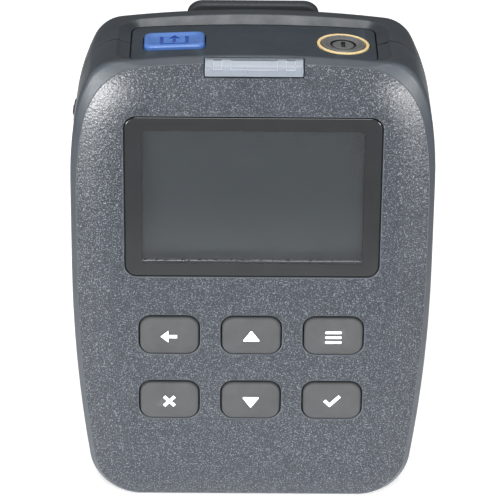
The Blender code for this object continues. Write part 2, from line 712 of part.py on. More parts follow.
def build_screws():
    labels = ("upper_left", "upper_right", "lower_left", "lower_right")
    for label, spot in zip(labels, SCREWS):
        screw = node(rod(2.6, 14.8, 16.8, spot, steps=16), f"case_screw_{label}", "steel")
        join(screw, rod(0.95, -6.0, 15.2, spot, steps=10))
        cut(screw, rod(1.2, 15.8, 18.0, spot, steps=6))
    for label, z in zip(("lower", "upper"), CLIP_SCREW_Z):
        screw = node(rod(2.3, 20.0, 21.4, (0.0, z), steps=14), f"clip_screw_{label}", "steel")
        join(screw, rod(1.05, 13.2, 20.4, (0.0, z), steps=10))
        cut(screw, rod(1.0, 20.8, 22.0, (0.0, z), steps=6))


clear_scene()
case_frame = bpy.data.objects.new("case_frame", None)
case_frame.location = (0.0, SEAM_SHIFT * MM, 0.0)
bpy.context.scene.collection.objects.link(case_frame)

build_front_shell()
build_rear_shell()
build_top_panel()
build_buttons()
build_light_bar()
build_window()
build_keys()
build_boards()
build_inlet()
build_port()
build_battery()
build_clip()
build_screws()
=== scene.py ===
import math

import bmesh
import bpy
from mathutils import Matrix, Vector


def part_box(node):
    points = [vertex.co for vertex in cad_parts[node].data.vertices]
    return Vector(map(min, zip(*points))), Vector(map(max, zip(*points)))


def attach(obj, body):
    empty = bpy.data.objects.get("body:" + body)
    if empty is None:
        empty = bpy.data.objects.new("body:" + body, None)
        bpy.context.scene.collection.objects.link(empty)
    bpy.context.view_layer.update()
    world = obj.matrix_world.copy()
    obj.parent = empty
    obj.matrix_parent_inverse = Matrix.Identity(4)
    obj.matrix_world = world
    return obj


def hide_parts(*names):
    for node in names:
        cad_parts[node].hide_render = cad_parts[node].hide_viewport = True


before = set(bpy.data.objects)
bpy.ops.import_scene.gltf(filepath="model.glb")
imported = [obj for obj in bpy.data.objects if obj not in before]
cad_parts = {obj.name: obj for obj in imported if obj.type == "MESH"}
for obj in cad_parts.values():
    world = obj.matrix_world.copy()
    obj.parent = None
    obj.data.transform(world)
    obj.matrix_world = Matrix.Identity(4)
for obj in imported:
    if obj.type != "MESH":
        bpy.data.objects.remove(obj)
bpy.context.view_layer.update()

# The looks of a hand-held code reader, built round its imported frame. Shapes are drawn in
# millimetres on the seam frame (Y = 0 where the two shells meet) and moved to the row
# frame as they are made.

MM = 0.001
GAP = 0.3
EDGE = 0.15
SEAM_HALF = 0.2

# The case, from the frame
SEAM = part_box("front_shell")[1].y / MM + EDGE
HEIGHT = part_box("front_shell")[1].z / MM
FRONT_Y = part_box("front_shell")[0].y / MM - SEAM
REAR_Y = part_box("battery_door")[1].y / MM - SEAM

# The outline from the top centre to the foot: radius, heading where the arc ends, steps
ARCH_RADIUS = 300.0
ARCH_END, CORNER_END = 6.55, 62.0
CORNER_RADIUS, FACE_CORNER_RADIUS = 9.0, 17.5
LOWER_OUTLINE = ((30.0, 80.0, 6), (110.0, 90.0, 5), (None, 90.0, 1), (400.0, 98.0, 8), (14.0, 180.0, 22))
WALL, TOP_SOLID = 2.6, 7.0

# The front shell's edge: a small round, a chamfer, a bead, then the crowned textured face
CHAMFER_ROUND, CHAMFER_SLOPE = 2.0, math.radians(39.0)
BEAD_AT, BEAD_RADIUS = (-15.5, 1.5), 0.16
FACE_PROUD = 0.7
FACE_Y = FRONT_Y - FACE_PROUD
CROWN_RUN, CROWN_RISE = 11.0, BEAD_AT[0] - FACE_Y

# The key recess: half width, front, back and corner radius at its rim and at its floor
RIM, FLOOR = (34.1, -13.7, 12.1, 5.5), (30.9, -11.4, 10.7, 3.0)
RECESS_DEPTH, PANEL_THICK = 2.1, 1.7
PANEL_ARCH, PANEL_TILT = 0.65, 0.021
RIM_FILLET = 0.5
SCAN_AT, POWER_AT = (-19.85, -0.5), (22.35, -0.9)
SCAN_HALF, POWER_R = (7.6, 4.7), 5.5
RING_IN, RING_OUT = 5.76, 6.6
BUTTON_FLANGE, BUTTON_STEM = (-2.75, -2.05), (1.8, -4.6, -2.5)
PANEL_EDGE = 0.25

# The light bar: half length, back, ends in height, and the frames (middle, half length) in its face
LENS_HALF, LENS_BACK, LENS_NOTCH = 12.1, -14.4, -14.1
LENS_TOP, LENS_LOW = HEIGHT - 0.7, HEIGHT - 4.8
LENS_FRAMES = ((0.0, 5.75), (-9.0, 1.05), (9.0, 1.05))
FRAME_RISE, FRAME_HALF = 0.75, 1.05

# Hollows and blocks inside the case: ranges in X, Y and Z
SWITCH_POCKET = ((-29.0, 29.0), (-9.0, 9.0), (HEIGHT - 9.0, HEIGHT - 4.0))
LAMP_SLOT = ((-9.5, 9.5), (-14.3, -12.2), (HEIGHT - 9.0, HEIGHT - 2.8))
BATTERY_TUB = ((-32.0, 32.0), (-1.2, 16.6), (15.6, 57.6))
CELL_BAY = ((-28.8, 28.8), (0.8, 17.0), (19.8, 52.4))
HOOK_SLOT = ((-4.5, 4.5), (14.0, 17.0), (52.0, 54.6))
INLET_SLOT = ((-13.2, 13.2), (-4.8, 4.8), (9.6, 18.6))
INLET_BLOCK_X, INLET_BLOCK_Y, INLET_BLOCK_Z = (-26.0, 26.0), 10.5, (1.0, 14.0)
BOSS_R, PILOT_R, SHAFT_R, HEAD_HOLE_R = 3.2, 1.15, 1.4, 3.0

# The keypad keys and the window
KEY_HALF, KEY_CORNER, KEY_EDGE, KEY_SKIRT = (7.5, 5.25), 3.0, 0.8, 1.2
WINDOW_CORNER, WINDOW_EDGE = 3.0, 0.25

# The belt clip and its hinge
CLIP_WIDER, CLIP_CORNER, CLIP_DROP, CLIP_EDGE = 0.6, 4.2, 3.5, 0.8
CLIP_INNER, CLIP_FOOT = 24.8, 18.7
LUG_R, LUG_THICK, PIN_HOLE_R = 2.1, 2.0, 1.29

# The side cover stands this proud of the flank
COVER_PROUD = 0.35

KEY_NAMES = ("key_back", "key_up", "key_info", "key_erase", "key_down", "key_enter")
CASE_SCREWS = [f"case_screw_{end}_{side}" for end in ("upper", "lower") for side in ("left", "right")]
CLIP_SCREWS = ("clip_screw_lower", "clip_screw_upper")

# The materials by short name, filled in once they are made
LOOKS = {}


def span(node):
    """A CAD node's (low, high) on each axis, in millimetres on the seam frame."""
    low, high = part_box(node)
    x, y, z = ((a / MM, b / MM) for a, b in zip(low, high))
    return x, (y[0] - SEAM, y[1] - SEAM), z


def middle(node):
    return [(low + high) / 2 for low, high in span(node)]


def spot(node):
    """Where a CAD node stands on the front or rear face."""
    return middle(node)[::2]


def plate(node):
    """Half width, half height and centre of a CAD node that lies across the middle."""
    (_, half), _, (low, high) = span(node)
    return half, (high - low) / 2, (0.0, (low + high) / 2)


# ---- shapes


def skin(shape, near, far):
    """The faces between two rings of vertices."""
    bands = zip(near, near[1:] + near[:1], far[1:] + far[:1], far)
    return [shape.faces.new(corners) for corners in bands]


def loft(rings, slots=None):
    """A closed solid through rings of equal length; slots gives each band's material."""
    shape = bmesh.new()
    rows = [[shape.verts.new(point) for point in ring] for ring in rings]
    slots = slots or [0] * len(rows)
    for near, far, slot in zip(rows, rows[1:], slots):
        for face in skin(shape, near, far):
            face.material_index = slot
    shape.faces.new(rows[0]).material_index = slots[0]
    shape.faces.new(rows[-1]).material_index = slots[-1]
    return shape


def place_on(axis, a, b, level):
    return {"X": (level, a, b), "Y": (a, level, b), "Z": (a, b, level)}[axis]


def stack(sections, axis="Z"):
    """A loft through (outline, level) pairs, drawn on the other two axes."""
    return loft([[place_on(axis, a, b, level) for a, b in outline] for outline, level in sections])


def prism(points, low, high, axis="Z"):
    return stack(((points, low), (points, high)), axis)


def box(x, y, z):
    return prism(((x[0], y[0]), (x[1], y[0]), (x[1], y[1]), (x[0], y[1])), *z)


def circle(radius, steps=40, centre=(0.0, 0.0)):
    turns = [i * (2 * math.pi / steps) for i in range(steps)]
    return [(centre[0] + radius * math.cos(t), centre[1] + radius * math.sin(t)) for t in turns]


def rod(radius, low, high, centre=(0.0, 0.0), axis="Y", steps=40):
    return prism(circle(radius, steps, centre), low, high, axis)


def turned(profile, centre=(0.0, 0.0), axis="Y", steps=48):
    """A solid of revolution from (radius, level) pairs."""
    return stack([(circle(r, steps, centre), level) for r, level in profile], axis)


def rounded(half_w, half_h, radius, centre=(0.0, 0.0), steps=8):
    points = []
    for corner, (sx, sy) in enumerate(((1, 1), (-1, 1), (-1, -1), (1, -1))):
        for i in range(steps + 1):
            angle = math.pi / 2 * (corner + i / steps)
            a = centre[0] + sx * (half_w - radius) + radius * math.cos(angle)
            b = centre[1] + sy * (half_h - radius) + radius * math.sin(angle)
            points.append((a, b))
    return points


def filleted(corners, steps=6):
    """A polygon from (a, b, radius) corners, each rounded by its own radius."""
    points = []
    for i, (a, b, radius) in enumerate(corners):
        here = Vector((a, b))
        before = (Vector(corners[i - 1][:2]) - here).normalized()
        after = (Vector(corners[(i + 1) % len(corners)][:2]) - here).normalized()
        if radius == 0.0:
            points.append(tuple(here))
            continue
        half = before.angle(after) / 2
        centre = here + (before + after).normalized() * (radius / math.sin(half))
        start = here + before * (radius / math.tan(half)) - centre
        turn = before.angle_signed(after)
        sweep = math.copysign(math.pi - 2 * half, turn)
        for k in range(steps + 1):
            arm = start.copy()
            arm.rotate(Matrix.Rotation(sweep * k / steps, 2))
            points.append(tuple(centre + arm))
    return points


def quarter(steps):
    """Points round a quarter circle: (how far in from the side, how far short of the end)."""
    turns = [math.pi / 2 * i / steps for i in range(steps + 1)]
    return [(1 - math.cos(turn), 1 - math.sin(turn)) for turn in turns]


def rim(half_w, half_h, radius, low, high, edge, centre, steps=5):
    """Sections of a rounded plate from its foot to its far face, whose edge is rounded over."""
    way = math.copysign(1.0, high - low)
    sections = [(rounded(half_w, half_h, radius, centre), low)]
    for inward, short in quarter(steps):
        shrink = edge * inward
        outline = rounded(half_w - shrink, half_h - shrink, max(radius - shrink, 0.1), centre)
        sections.append((outline, high - way * edge * short))
    return sections


def pillow(half_w, half_h, radius, low, high, edge, axis="Z", centre=(0.0, 0.0)):
    return stack(rim(half_w, half_h, radius, low, high, edge, centre), axis)


def coil(radii, pitch, turns, wire, per_turn=28, sides=10):
    """A helix of wire along +X, from the first radius to the second."""
    steps = int(turns * per_turn)
    rings = []
    for i in range(steps + 1):
        angle = 2 * math.pi * i / per_turn
        radius = radii[0] + (radii[1] - radii[0]) * i / steps
        out = Vector((0.0, math.cos(angle), math.sin(angle)))
        centre = out * radius + Vector((pitch * i / per_turn, 0.0, 0.0))
        ring = []
        for k in range(sides):
            around = 2 * math.pi * k / sides
            offset = out * math.cos(around) + Vector((1, 0, 0)) * math.sin(around)
            ring.append(centre + offset * wire)
        rings.append(ring)
    return loft(rings)


def merged(*shapes):
    """Several shapes that don't touch, as one."""
    whole = bmesh.new()
    for shape in shapes:
        held = bpy.data.meshes.new("held")
        shape.to_mesh(held)
        shape.free()
        whole.from_mesh(held)
        bpy.data.meshes.remove(held)
    return whole


def carried(shape, matrix):
    bmesh.ops.transform(shape, verts=shape.verts, matrix=matrix)
    return shape


def painted(shape):
    """Gives a shape the piece's second material."""
    for face in shape.faces:
        face.material_index = 1
    return shape


def outline_arcs(corner):
    """The outline's arcs for one top corner radius, at the same overall width."""
    start, end = (math.sin(math.radians(a)) for a in (ARCH_END, CORNER_END))
    reach = ARCH_RADIUS * start + CORNER_RADIUS * (end - start)
    turn_in = math.degrees(math.asin((reach - corner * end) / (ARCH_RADIUS - corner)))
    return ((ARCH_RADIUS, turn_in, 16), (corner, CORNER_END, 16), *LOWER_OUTLINE)


def half_outline(inset, corner=CORNER_RADIUS):
    """Points from the top centre round to the foot, for the case outline moved inwards."""
    arcs = outline_arcs(corner)
    heading, straight = 0.0, HEIGHT
    for radius, end, _ in arcs:
        if radius:
            straight -= radius * (math.cos(heading) - math.cos(math.radians(end)))
        heading = math.radians(end)
    x, z, heading = 0.0, HEIGHT - inset, 0.0
    points = [(x, z)]
    for radius, end, steps in arcs:
        if radius is None:
            z -= straight
            points.append((x, z))
            continue
        left = radius - inset
        sweep = math.radians(end) - heading
        for i in range(1, steps + 1):
            angle = heading + sweep * i / steps
            across = left * (math.sin(angle) - math.sin(heading))
            down = left * (math.cos(heading) - math.cos(angle))
            points.append((x + across, z - down))
        heading += sweep
        x, z = points[-1]
    return points


def case_ring(depth, inset, width=1.0, settle=0.0, ceiling=None, face=0.0):
    """The case outline at one depth; face blends it towards the softer front corners."""
    corner = CORNER_RADIUS + face * (FACE_CORNER_RADIUS - CORNER_RADIUS)
    right = half_outline(inset, corner)
    ring = []
    for x, z in right + [(-x, z) for x, z in reversed(right[1:-1])]:
        low = z - settle * (1 - z / HEIGHT)
        ring.append((x * width, depth, min(low, ceiling or HEIGHT)))
    return ring


def arch_drop(x):
    return ARCH_RADIUS - math.sqrt(ARCH_RADIUS**2 - x**2)


def arched_plug(rings, inner_steps=28, corner_steps=10, end_steps=8):
    """A rounded block whose levels follow the arch of the top end.

    Each ring is (half width, front, back, corner radius, depth below the top, share of
    the way from the case's own arch to the panel's flatter, tilted one).
    """
    shape = bmesh.new()
    loops = []
    for half, front, back, radius, depth, flat in rings:
        stations = [(-half + radius * inward, radius * short) for inward, short in quarter(corner_steps)]
        for i in range(1, inner_steps):
            stations.append(((half - radius) * (2 * i / inner_steps - 1), 0.0))
        stations += [(-x, dip) for x, dip in reversed(stations[: corner_steps + 1])]
        near = [(x, front + dip) for x, dip in stations]
        far = [(x, back - dip) for x, dip in reversed(stations)]
        first, last = front + radius, back - radius
        rise = [first + (last - first) * i / end_steps for i in range(1, end_steps)]
        loop = near + [(half, y) for y in rise] + far + [(-half, y) for y in reversed(rise)]
        points = []
        for x, y in loop:
            drop = arch_drop(x) * (1 - flat * (1 - PANEL_ARCH)) + flat * PANEL_TILT * y
            points.append(shape.verts.new((x, y, HEIGHT - depth - drop)))
        loops.append(points)
    for above, below in zip(loops, loops[1:]):
        skin(shape, above, below)
    across = inner_steps + 2 * corner_steps
    for loop in (loops[0], loops[-1]):
        turn = across + end_steps
        opposite = [loop[turn + across - i] for i in range(across + 1)]
        for i in range(1, across - 1):
            shape.faces.new((loop[i], loop[i + 1], opposite[i + 1], opposite[i]))
        left = loop[turn + across :]
        shape.faces.new((*left, loop[0], loop[1], opposite[1]))
        right = loop[across - 1 : turn + 1]
        shape.faces.new((*right, opposite[across - 1]))
    return shape


# ---- objects


def placed(name, data):
    made = bpy.data.objects.new(name, data)
    bpy.context.scene.collection.objects.link(made)
    return made


def solid(shape, name, looks=""):
    """An object from a bmesh drawn in millimetres on the seam frame."""
    bmesh.ops.recalc_face_normals(shape, faces=shape.faces)
    bmesh.ops.translate(shape, verts=shape.verts, vec=(0.0, SEAM, 0.0))
    bmesh.ops.scale(shape, verts=shape.verts, vec=(MM, MM, MM))
    mesh = bpy.data.meshes.new(name)
    shape.to_mesh(mesh)
    shape.free()
    for look in looks.split():
        mesh.materials.append(LOOKS[look])
    return placed(name, mesh)


def work(target, *steps):
    """Carries out (operation, shape) Boolean steps on the target, and keeps the result."""
    tools = []
    for operation, shape in steps:
        tool = solid(shape, "tool")
        for material in target.data.materials:
            tool.data.materials.append(material)
        step = target.modifiers.new("work", "BOOLEAN")
        step.operation = operation
        step.solver = "EXACT"
        step.object = tool
        tools.append(tool)
    bpy.context.view_layer.update()
    graph = bpy.context.evaluated_depsgraph_get()
    mesh = bpy.data.meshes.new_from_object(target.evaluated_get(graph))
    target.modifiers.clear()
    target.data = mesh
    for tool in tools:
        bpy.data.objects.remove(tool)
    return target


def cut(target, *shapes):
    return work(target, *[("DIFFERENCE", shape) for shape in shapes])


def join(target, *shapes):
    return work(target, *[("UNION", shape) for shape in shapes])


def smooth(target, angle=30.0):
    mesh = target.data
    mesh.shade_smooth()
    mesh.set_sharp_from_angle(angle=math.radians(angle))
    step = target.modifiers.new("even_normals", "WEIGHTED_NORMAL")
    step.keep_sharp = True
    return target


def show(piece, body, slot, *nodes, angle=30.0):
    """Smooths a finished piece, ties it to its body and hides the CAD nodes it stands for; the slot is not
    used.
    """
    smooth(piece, angle)
    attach(piece, body)
    if nodes:
        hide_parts(*nodes)
    return piece


# ---- materials


class Finish:
    """A Principled material with helpers that add procedural detail to it."""

    def __init__(self, name, colour, roughness, metallic=0.0, **fixed):
        self.material = bpy.data.materials.new(name)
        self.material.use_nodes = True
        self.tree = self.material.node_tree
        self.shader = self.tree.nodes["Principled BSDF"]
        self.colour, self.roughness = colour, roughness
        self.set(self.shader, Base_Color=(*colour, 1.0), Roughness=roughness, Metallic=metallic, **fixed)
        self.place = self.node("ShaderNodeTexCoord").outputs["Object"]
        self.bumps = []

    def set(self, node, **sockets):
        for socket, value in sockets.items():
            node.inputs[socket.replace("_", " ")].default_value = value
        return node

    def node(self, kind, **values):
        made = self.tree.nodes.new(kind)
        for name, value in values.items():
            setattr(made, name, value)
        return made

    def link(self, source, target):
        self.tree.links.new(source, target)

    def mapped(self, target, **sockets):
        """Feeds a node from the object's own space, moved, turned or scaled if asked."""
        source = self.place
        if sockets:
            mapping = self.set(self.node("ShaderNodeMapping"), **sockets)
            self.link(source, mapping.inputs["Vector"])
            source = mapping.outputs["Vector"]
        self.link(source, target.inputs[0])
        return target

    def noise(self, size, detail=3.0, rough=0.55, **mapping):
        """Noise with features of about that many millimetres."""
        made = self.node("ShaderNodeTexNoise")
        self.set(made, Scale=1.0 / (size * MM), Detail=detail, Roughness=rough)
        return self.mapped(made, **mapping).outputs["Fac"]

    def cells(self, size):
        made = self.set(self.node("ShaderNodeTexVoronoi", feature="F1"), Scale=1.0 / (size * MM))
        return self.mapped(made).outputs["Distance"]

    def bricks(self, size, offset=0.5, **sockets):
        """A grid on the upright faces."""
        made = self.set(self.node("ShaderNodeTexBrick", offset=offset), Scale=1.0 / (size * MM), **sockets)
        return self.mapped(made, Rotation=(math.pi / 2, 0.0, 0.0)).outputs["Fac"]

    def ranged(self, source, low, high, out_low, out_high):
        made = self.node("ShaderNodeMapRange")
        self.set(made, From_Min=low, From_Max=high, To_Min=out_low, To_Max=out_high)
        self.link(source, made.inputs["Value"])
        return made.outputs["Result"]

    def mixed(self, share, first, second):
        """A colour between two; each is a socket or an RGB triple."""
        made = self.node("ShaderNodeMix", data_type="RGBA")
        for value, slot in ((first, 6), (second, 7)):
            if isinstance(value, tuple):
                made.inputs[slot].default_value = (*value, 1.0)
            else:
                self.link(value, made.inputs[slot])
        self.link(share, made.inputs[0])
        return made.outputs[2]

    def paint(self, source):
        self.link(source, self.shader.inputs["Base Color"])
        self.painted = source
        return self

    def mottle(self, size, share):
        """Light and dark drift of the base colour."""
        darker = tuple(c * (1 - share) for c in self.colour)
        lighter = tuple(min(c * (1 + share), 1.0) for c in self.colour)
        drift = self.ranged(self.noise(size, 4.0), 0.3, 0.7, 0.0, 1.0)
        return self.paint(self.mixed(drift, darker, lighter))

    def worn(self):
        """Edges rubbed paler, from the surface's own curvature."""
        edge = self.node("ShaderNodeNewGeometry").outputs["Pointiness"]
        share = self.ranged(edge, 0.52, 0.62, 0.0, 0.6)
        rubbed = tuple(min(c * 1.7, 1.0) for c in self.colour)
        return self.paint(self.mixed(share, self.painted, rubbed))

    def scuffed(self, size, spread, **mapping):
        """Roughness that varies by that much each way."""
        low, high = self.roughness - spread, self.roughness + spread
        drift = self.ranged(self.noise(size, 5.0, 0.6, **mapping), 0.3, 0.7, low, high)
        self.link(drift, self.shader.inputs["Roughness"])
        return self

    def bumped(self, height, depth):
        """Adds relief of that depth in millimetres from a 0 to 1 height."""
        made = self.set(self.node("ShaderNodeBump"), Strength=1.0, Distance=depth * MM)
        self.link(height, made.inputs["Height"])
        if self.bumps:
            self.link(self.bumps[-1], made.inputs["Normal"])
        self.bumps.append(made.outputs["Normal"])
        self.link(made.outputs["Normal"], self.shader.inputs["Normal"])
        return self


def moulded(name, colour, roughness, grain=0.25, depth=0.012, share=0.12, spread=0.06, **fixed):
    """Moulded plastic: fine grain, drifting colour, uneven sheen and rubbed edges."""
    made = Finish(name, colour, roughness, **fixed).mottle(7.0, share).worn()
    made.scuffed(4.0, spread)
    return made.bumped(made.noise(grain, 2.0), depth)


def spark_textured(name, colour, roughness):
    """The coarse sparkling grain of the front face, with painted glints on its peaks."""
    made = Finish(name, colour, roughness)
    grains = made.noise(0.31, 2.5, 0.65)
    pebbles = made.cells(0.8)
    # a paler colour on the grain's peaks: painted glints
    painted_glints = made.ranged(grains, 0.55, 0.63, 0.0, 1.0)
    made.paint(made.mixed(painted_glints, colour, (0.125, 0.135, 0.150)))
    made.scuffed(9.0, 0.04)
    made.bumped(pebbles, 0.045)
    return made.bumped(grains, 0.016)


def metal(name, colour, roughness, brush=(1.0, 1.0, 14.0)):
    made = Finish(name, colour, roughness, metallic=1.0).mottle(3.0, 0.08)
    made.scuffed(1.4, 0.09, Scale=brush)
    return made.bumped(made.noise(0.9, 3.0, 0.6, Scale=brush), 0.01)


def board_finish(name, colour):
    """Solder resist over copper tracks."""
    made = Finish(name, colour, 0.38)
    tracks = made.bricks(2.6, Mortar_Size=0.06, Mortar_Smooth=0.2)
    made.paint(made.mixed(tracks, colour, tuple(c * 2.2 for c in colour)))
    made.scuffed(2.0, 0.08)
    return made.bumped(tracks, 0.035)


def screen_finish():
    """An unlit display: dark cells behind a fine grid."""
    made = Finish("screen_unlit", (0.020, 0.026, 0.030), 0.22)
    made.paint(made.mixed(made.bricks(0.5, 0.0, Mortar_Size=0.04), made.colour, (0.023, 0.029, 0.034)))
    made.scuffed(8.0, 0.05)
    return made.bumped(made.noise(6.0, 2.0), 0.004)


def soft_plastic(name, colour, roughness, weight, reach, **other):
    """Moulded plastic that lets a little light in."""
    return moulded(name, colour, roughness, Subsurface_Weight=weight, Subsurface_Scale=reach, **other)


def make_materials():
    blue, amber, frost = (0.085, 0.20, 0.55), (1.0, 0.70, 0.36), (0.130, 0.146, 0.168)
    clear = {"Transmission_Weight": 1.0, "IOR": 1.49, "spread": 0.02}
    frosted = {"Specular_IOR_Level": 0.35, "IOR": 1.46, "spread": 0.03}
    made = {
        "case": moulded("case_satin", (0.034, 0.041, 0.049), 0.44, grain=0.3, depth=0.015, share=0.1),
        "grain": spark_textured("case_spark_grain", (0.010, 0.0135, 0.019), 0.36),
        "clip": moulded("clip_plastic", (0.030, 0.034, 0.038), 0.58, grain=0.35, depth=0.03),
        "panel": moulded("panel_matt", (0.030, 0.041, 0.052), 0.6, grain=0.22, depth=0.02),
        "blue": soft_plastic("key_blue_gloss", blue, 0.36, 0.12, 0.002, grain=0.8, depth=0.006, share=0.03),
        # darker blue inside the debossed symbol: painted shade in the recess
        "blue_deep": moulded("key_blue_symbol_painted_shade", (0.03, 0.09, 0.36), 0.35, depth=0.01),
        "amber": soft_plastic("ring_amber", amber, 0.4, 0.2, 0.001, grain=0.3, depth=0.006, share=0.06),
        "button": moulded("button_satin", (0.135, 0.137, 0.137), 0.34, grain=0.2, depth=0.012),
        # near-black inside the power symbol's groove and bar: painted shade in the recess
        "button_deep": moulded("button_symbol_painted_shade", (0.018, 0.018, 0.020), 0.5, depth=0.01),
        "lens": soft_plastic(
            "lens_clear", frost, 0.30, 0.15, 0.001, grain=2.5, depth=0.006, share=0.03, **frosted
        ),
        # the frames' lower and side lines: paler than the bar, a painted highlight on the lit groove flanks
        "groove": moulded("lens_groove_painted_highlight", (0.22, 0.24, 0.27), 0.4, grain=0.5, depth=0.01),
        # the frames' top lines: near-black, a painted shadow under the groove's upper edge
        "groove_dark": moulded("lens_painted_groove_shadow", (0.05, 0.056, 0.063), 0.5, grain=0.5, depth=0.01),
        "glass": moulded("window_clear", (0.80, 0.83, 0.85), 0.05, 6.0, 0.002, share=0.02, **clear),
        "border": moulded("window_border", (0.010, 0.011, 0.012), 0.08, 6.0, 0.002, spread=0.03),
        "screen": screen_finish(),
        # near-black for the gasket and the shells' seam faces: painted shade in the gap between the shells
        "seal": moulded("seal_black_and_seam_shade", (0.006, 0.006, 0.007), 0.8, grain=0.4, depth=0.01),
        "rubber": moulded("rubber_matt", (0.030, 0.031, 0.033), 0.72, grain=0.18, depth=0.03),
        "print": moulded("symbol_print", (0.62, 0.65, 0.67), 0.5, depth=0.01),
        "steel": metal("steel_brushed", (0.60, 0.60, 0.61), 0.30),
        "black_steel": metal("steel_blackened", (0.10, 0.10, 0.11), 0.36),
        "gold": metal("contact_gold", (0.80, 0.58, 0.27), 0.24),
        "board": board_finish("board_resist", (0.012, 0.10, 0.045)),
        "chip": moulded("chip_resin", (0.018, 0.018, 0.019), 0.55, grain=0.12, depth=0.015),
        "film": moulded("film_amber", (0.42, 0.24, 0.05), 0.3, grain=1.5, depth=0.01),
        "cell": moulded("cell_wrap", (0.05, 0.055, 0.065), 0.28, grain=3.0, depth=0.01),
        "cell_band": moulded("cell_wrap_band", (0.55, 0.27, 0.10), 0.25, grain=3.0, depth=0.01),
    }
    LOOKS.update({name: finish.material for name, finish in made.items()})


# ---- the case


def front_profile():
    """(depth, inset, share of the face corner, material) from the seam to the flat face."""
    # the two rows at the seam take the near-black seal colour as painted shade in the gap
    rows = [(-SEAM_HALF, 0.12, 0.0, 2), (-SEAM_HALF - 0.1, 0.0, 0.0, 2)]
    edge_depth, edge_inset = BEAD_AT
    inset_left = edge_inset - CHAMFER_ROUND * (1 - math.cos(CHAMFER_SLOPE))
    start = edge_depth + inset_left / math.tan(CHAMFER_SLOPE) + CHAMFER_ROUND * math.sin(CHAMFER_SLOPE)
    for i in range(7):
        angle = CHAMFER_SLOPE * i / 6
        depth = start - CHAMFER_ROUND * math.sin(angle)
        face = ((depth - start) / (edge_depth - start)) ** 1.5
        rows.append((depth, CHAMFER_ROUND * (1 - math.cos(angle)), face, 0))
    # the bead's centre lies half its radius under the crease
    chamfer_normal = math.pi / 2 + CHAMFER_SLOPE
    crown_normal = math.pi / 2 + math.atan(2 * CROWN_RISE / CROWN_RUN)
    between = (chamfer_normal + crown_normal) / 2
    half_turn = math.radians(60)
    inward = edge_inset - 0.5 * BEAD_RADIUS * math.cos(between)
    forward = -edge_depth - 0.5 * BEAD_RADIUS * math.sin(between)
    for i in range(8):
        angle = chamfer_normal + half_turn
        angle += (crown_normal - chamfer_normal - 2 * half_turn) * i / 7
        depth = -forward - BEAD_RADIUS * math.sin(angle)
        rows.append((depth, inward + BEAD_RADIUS * math.cos(angle), 1.0, 0))
    steps = 14
    for i in range(1, steps + 1):
        share = i / steps
        rise = CROWN_RISE * (1 - (1 - share) ** 2)
        rows.append((edge_depth - rise, edge_inset + CROWN_RUN * share, 1.0, 1))
    return rows


def rear_profile():
    """(depth, inset, width factor, settle of the foot) from the seam to the rear face."""
    rows = [(SEAM_HALF, 0.12), (SEAM_HALF + 0.1, 0.0)]
    turn_at, wall_inset, last_inset = 14.6, 0.2, 3.2
    for depth in (3.0, 6.0, 9.0):
        rows.append((depth, wall_inset * (depth / turn_at) ** 2))
    steps = 12
    for i in range(steps + 1):
        angle = math.pi / 2 * i / steps
        depth = turn_at + (REAR_Y - turn_at) * math.sin(angle)
        rows.append((depth, wall_inset + (last_inset - wall_inset) * (1 - math.cos(angle))))
    most_settle, narrowing, wall_depth = 0.7, 0.022, 15.8
    return [
        (depth, inset, 1 - narrowing * (depth / wall_depth) ** 2, min(inset, most_settle))
        for depth, inset in rows
    ]


def recess_cutter():
    """The key recess, its rim rounded over."""
    run_side, run_end = RIM[0] - FLOOR[0], RIM[2] - FLOOR[2]
    spread, dip, steps = 0.35, RIM_FILLET, 6
    rings = []
    for i in range(steps + 1):
        t = 1 - i / steps
        depth = dip * (1 - t) ** 2
        side = t * t * spread - depth * run_side / RECESS_DEPTH
        end = t * t * spread - depth * run_end / RECESS_DEPTH
        corners = (RIM[0] + side, RIM[1] - end, RIM[2] + end, RIM[3] + end)
        rings.append((*corners, depth, 0.0))
    half, front, back, radius, _, _ = rings[0]
    rings.insert(0, (half + 0.1, front - 0.1, back + 0.1, radius, -RECESS_DEPTH, 0.0))
    rings.append((*FLOOR, RECESS_DEPTH, 1.0))
    rings.append((*FLOOR, RECESS_DEPTH + PANEL_THICK + GAP, 1.0))
    return arched_plug(rings)


def lens_notch():
    half, far = LENS_HALF + GAP, -20.0
    corners = ((-half, far, 0.0), (half, far, 0.0), (half, LENS_NOTCH, 0.4), (-half, LENS_NOTCH, 0.4))
    return prism(filleted(corners), HEIGHT - 5.1, HEIGHT + 2.0)


def inlet_pocket():
    return pillow(23.0, 7.5, 1.5, -2.0, 10.6, 0.3)


def at_screws(names, radius, low, high, steps=24):
    """A rod at each of those screws."""
    return merged(*[rod(radius, low, high, spot(name), steps=steps) for name in names])


def flared(half_w, half_h, radius, centre, level, deep, flare=0.3, axis="Y"):
    """A cutter for an opening whose mouth is rounded over at the given level."""
    way = math.copysign(1.0, deep - level)
    sections = [(rounded(half_w + flare, half_h + flare, radius + flare, centre), level - way * 3)]
    for inward, short in quarter(5):
        out = flare * short
        outline = rounded(half_w + out, half_h + out, radius + out, centre)
        sections.append((outline, level + way * (flare * inward)))
    sections.append((rounded(half_w, half_h, radius, centre), deep))
    return stack(sections, axis)


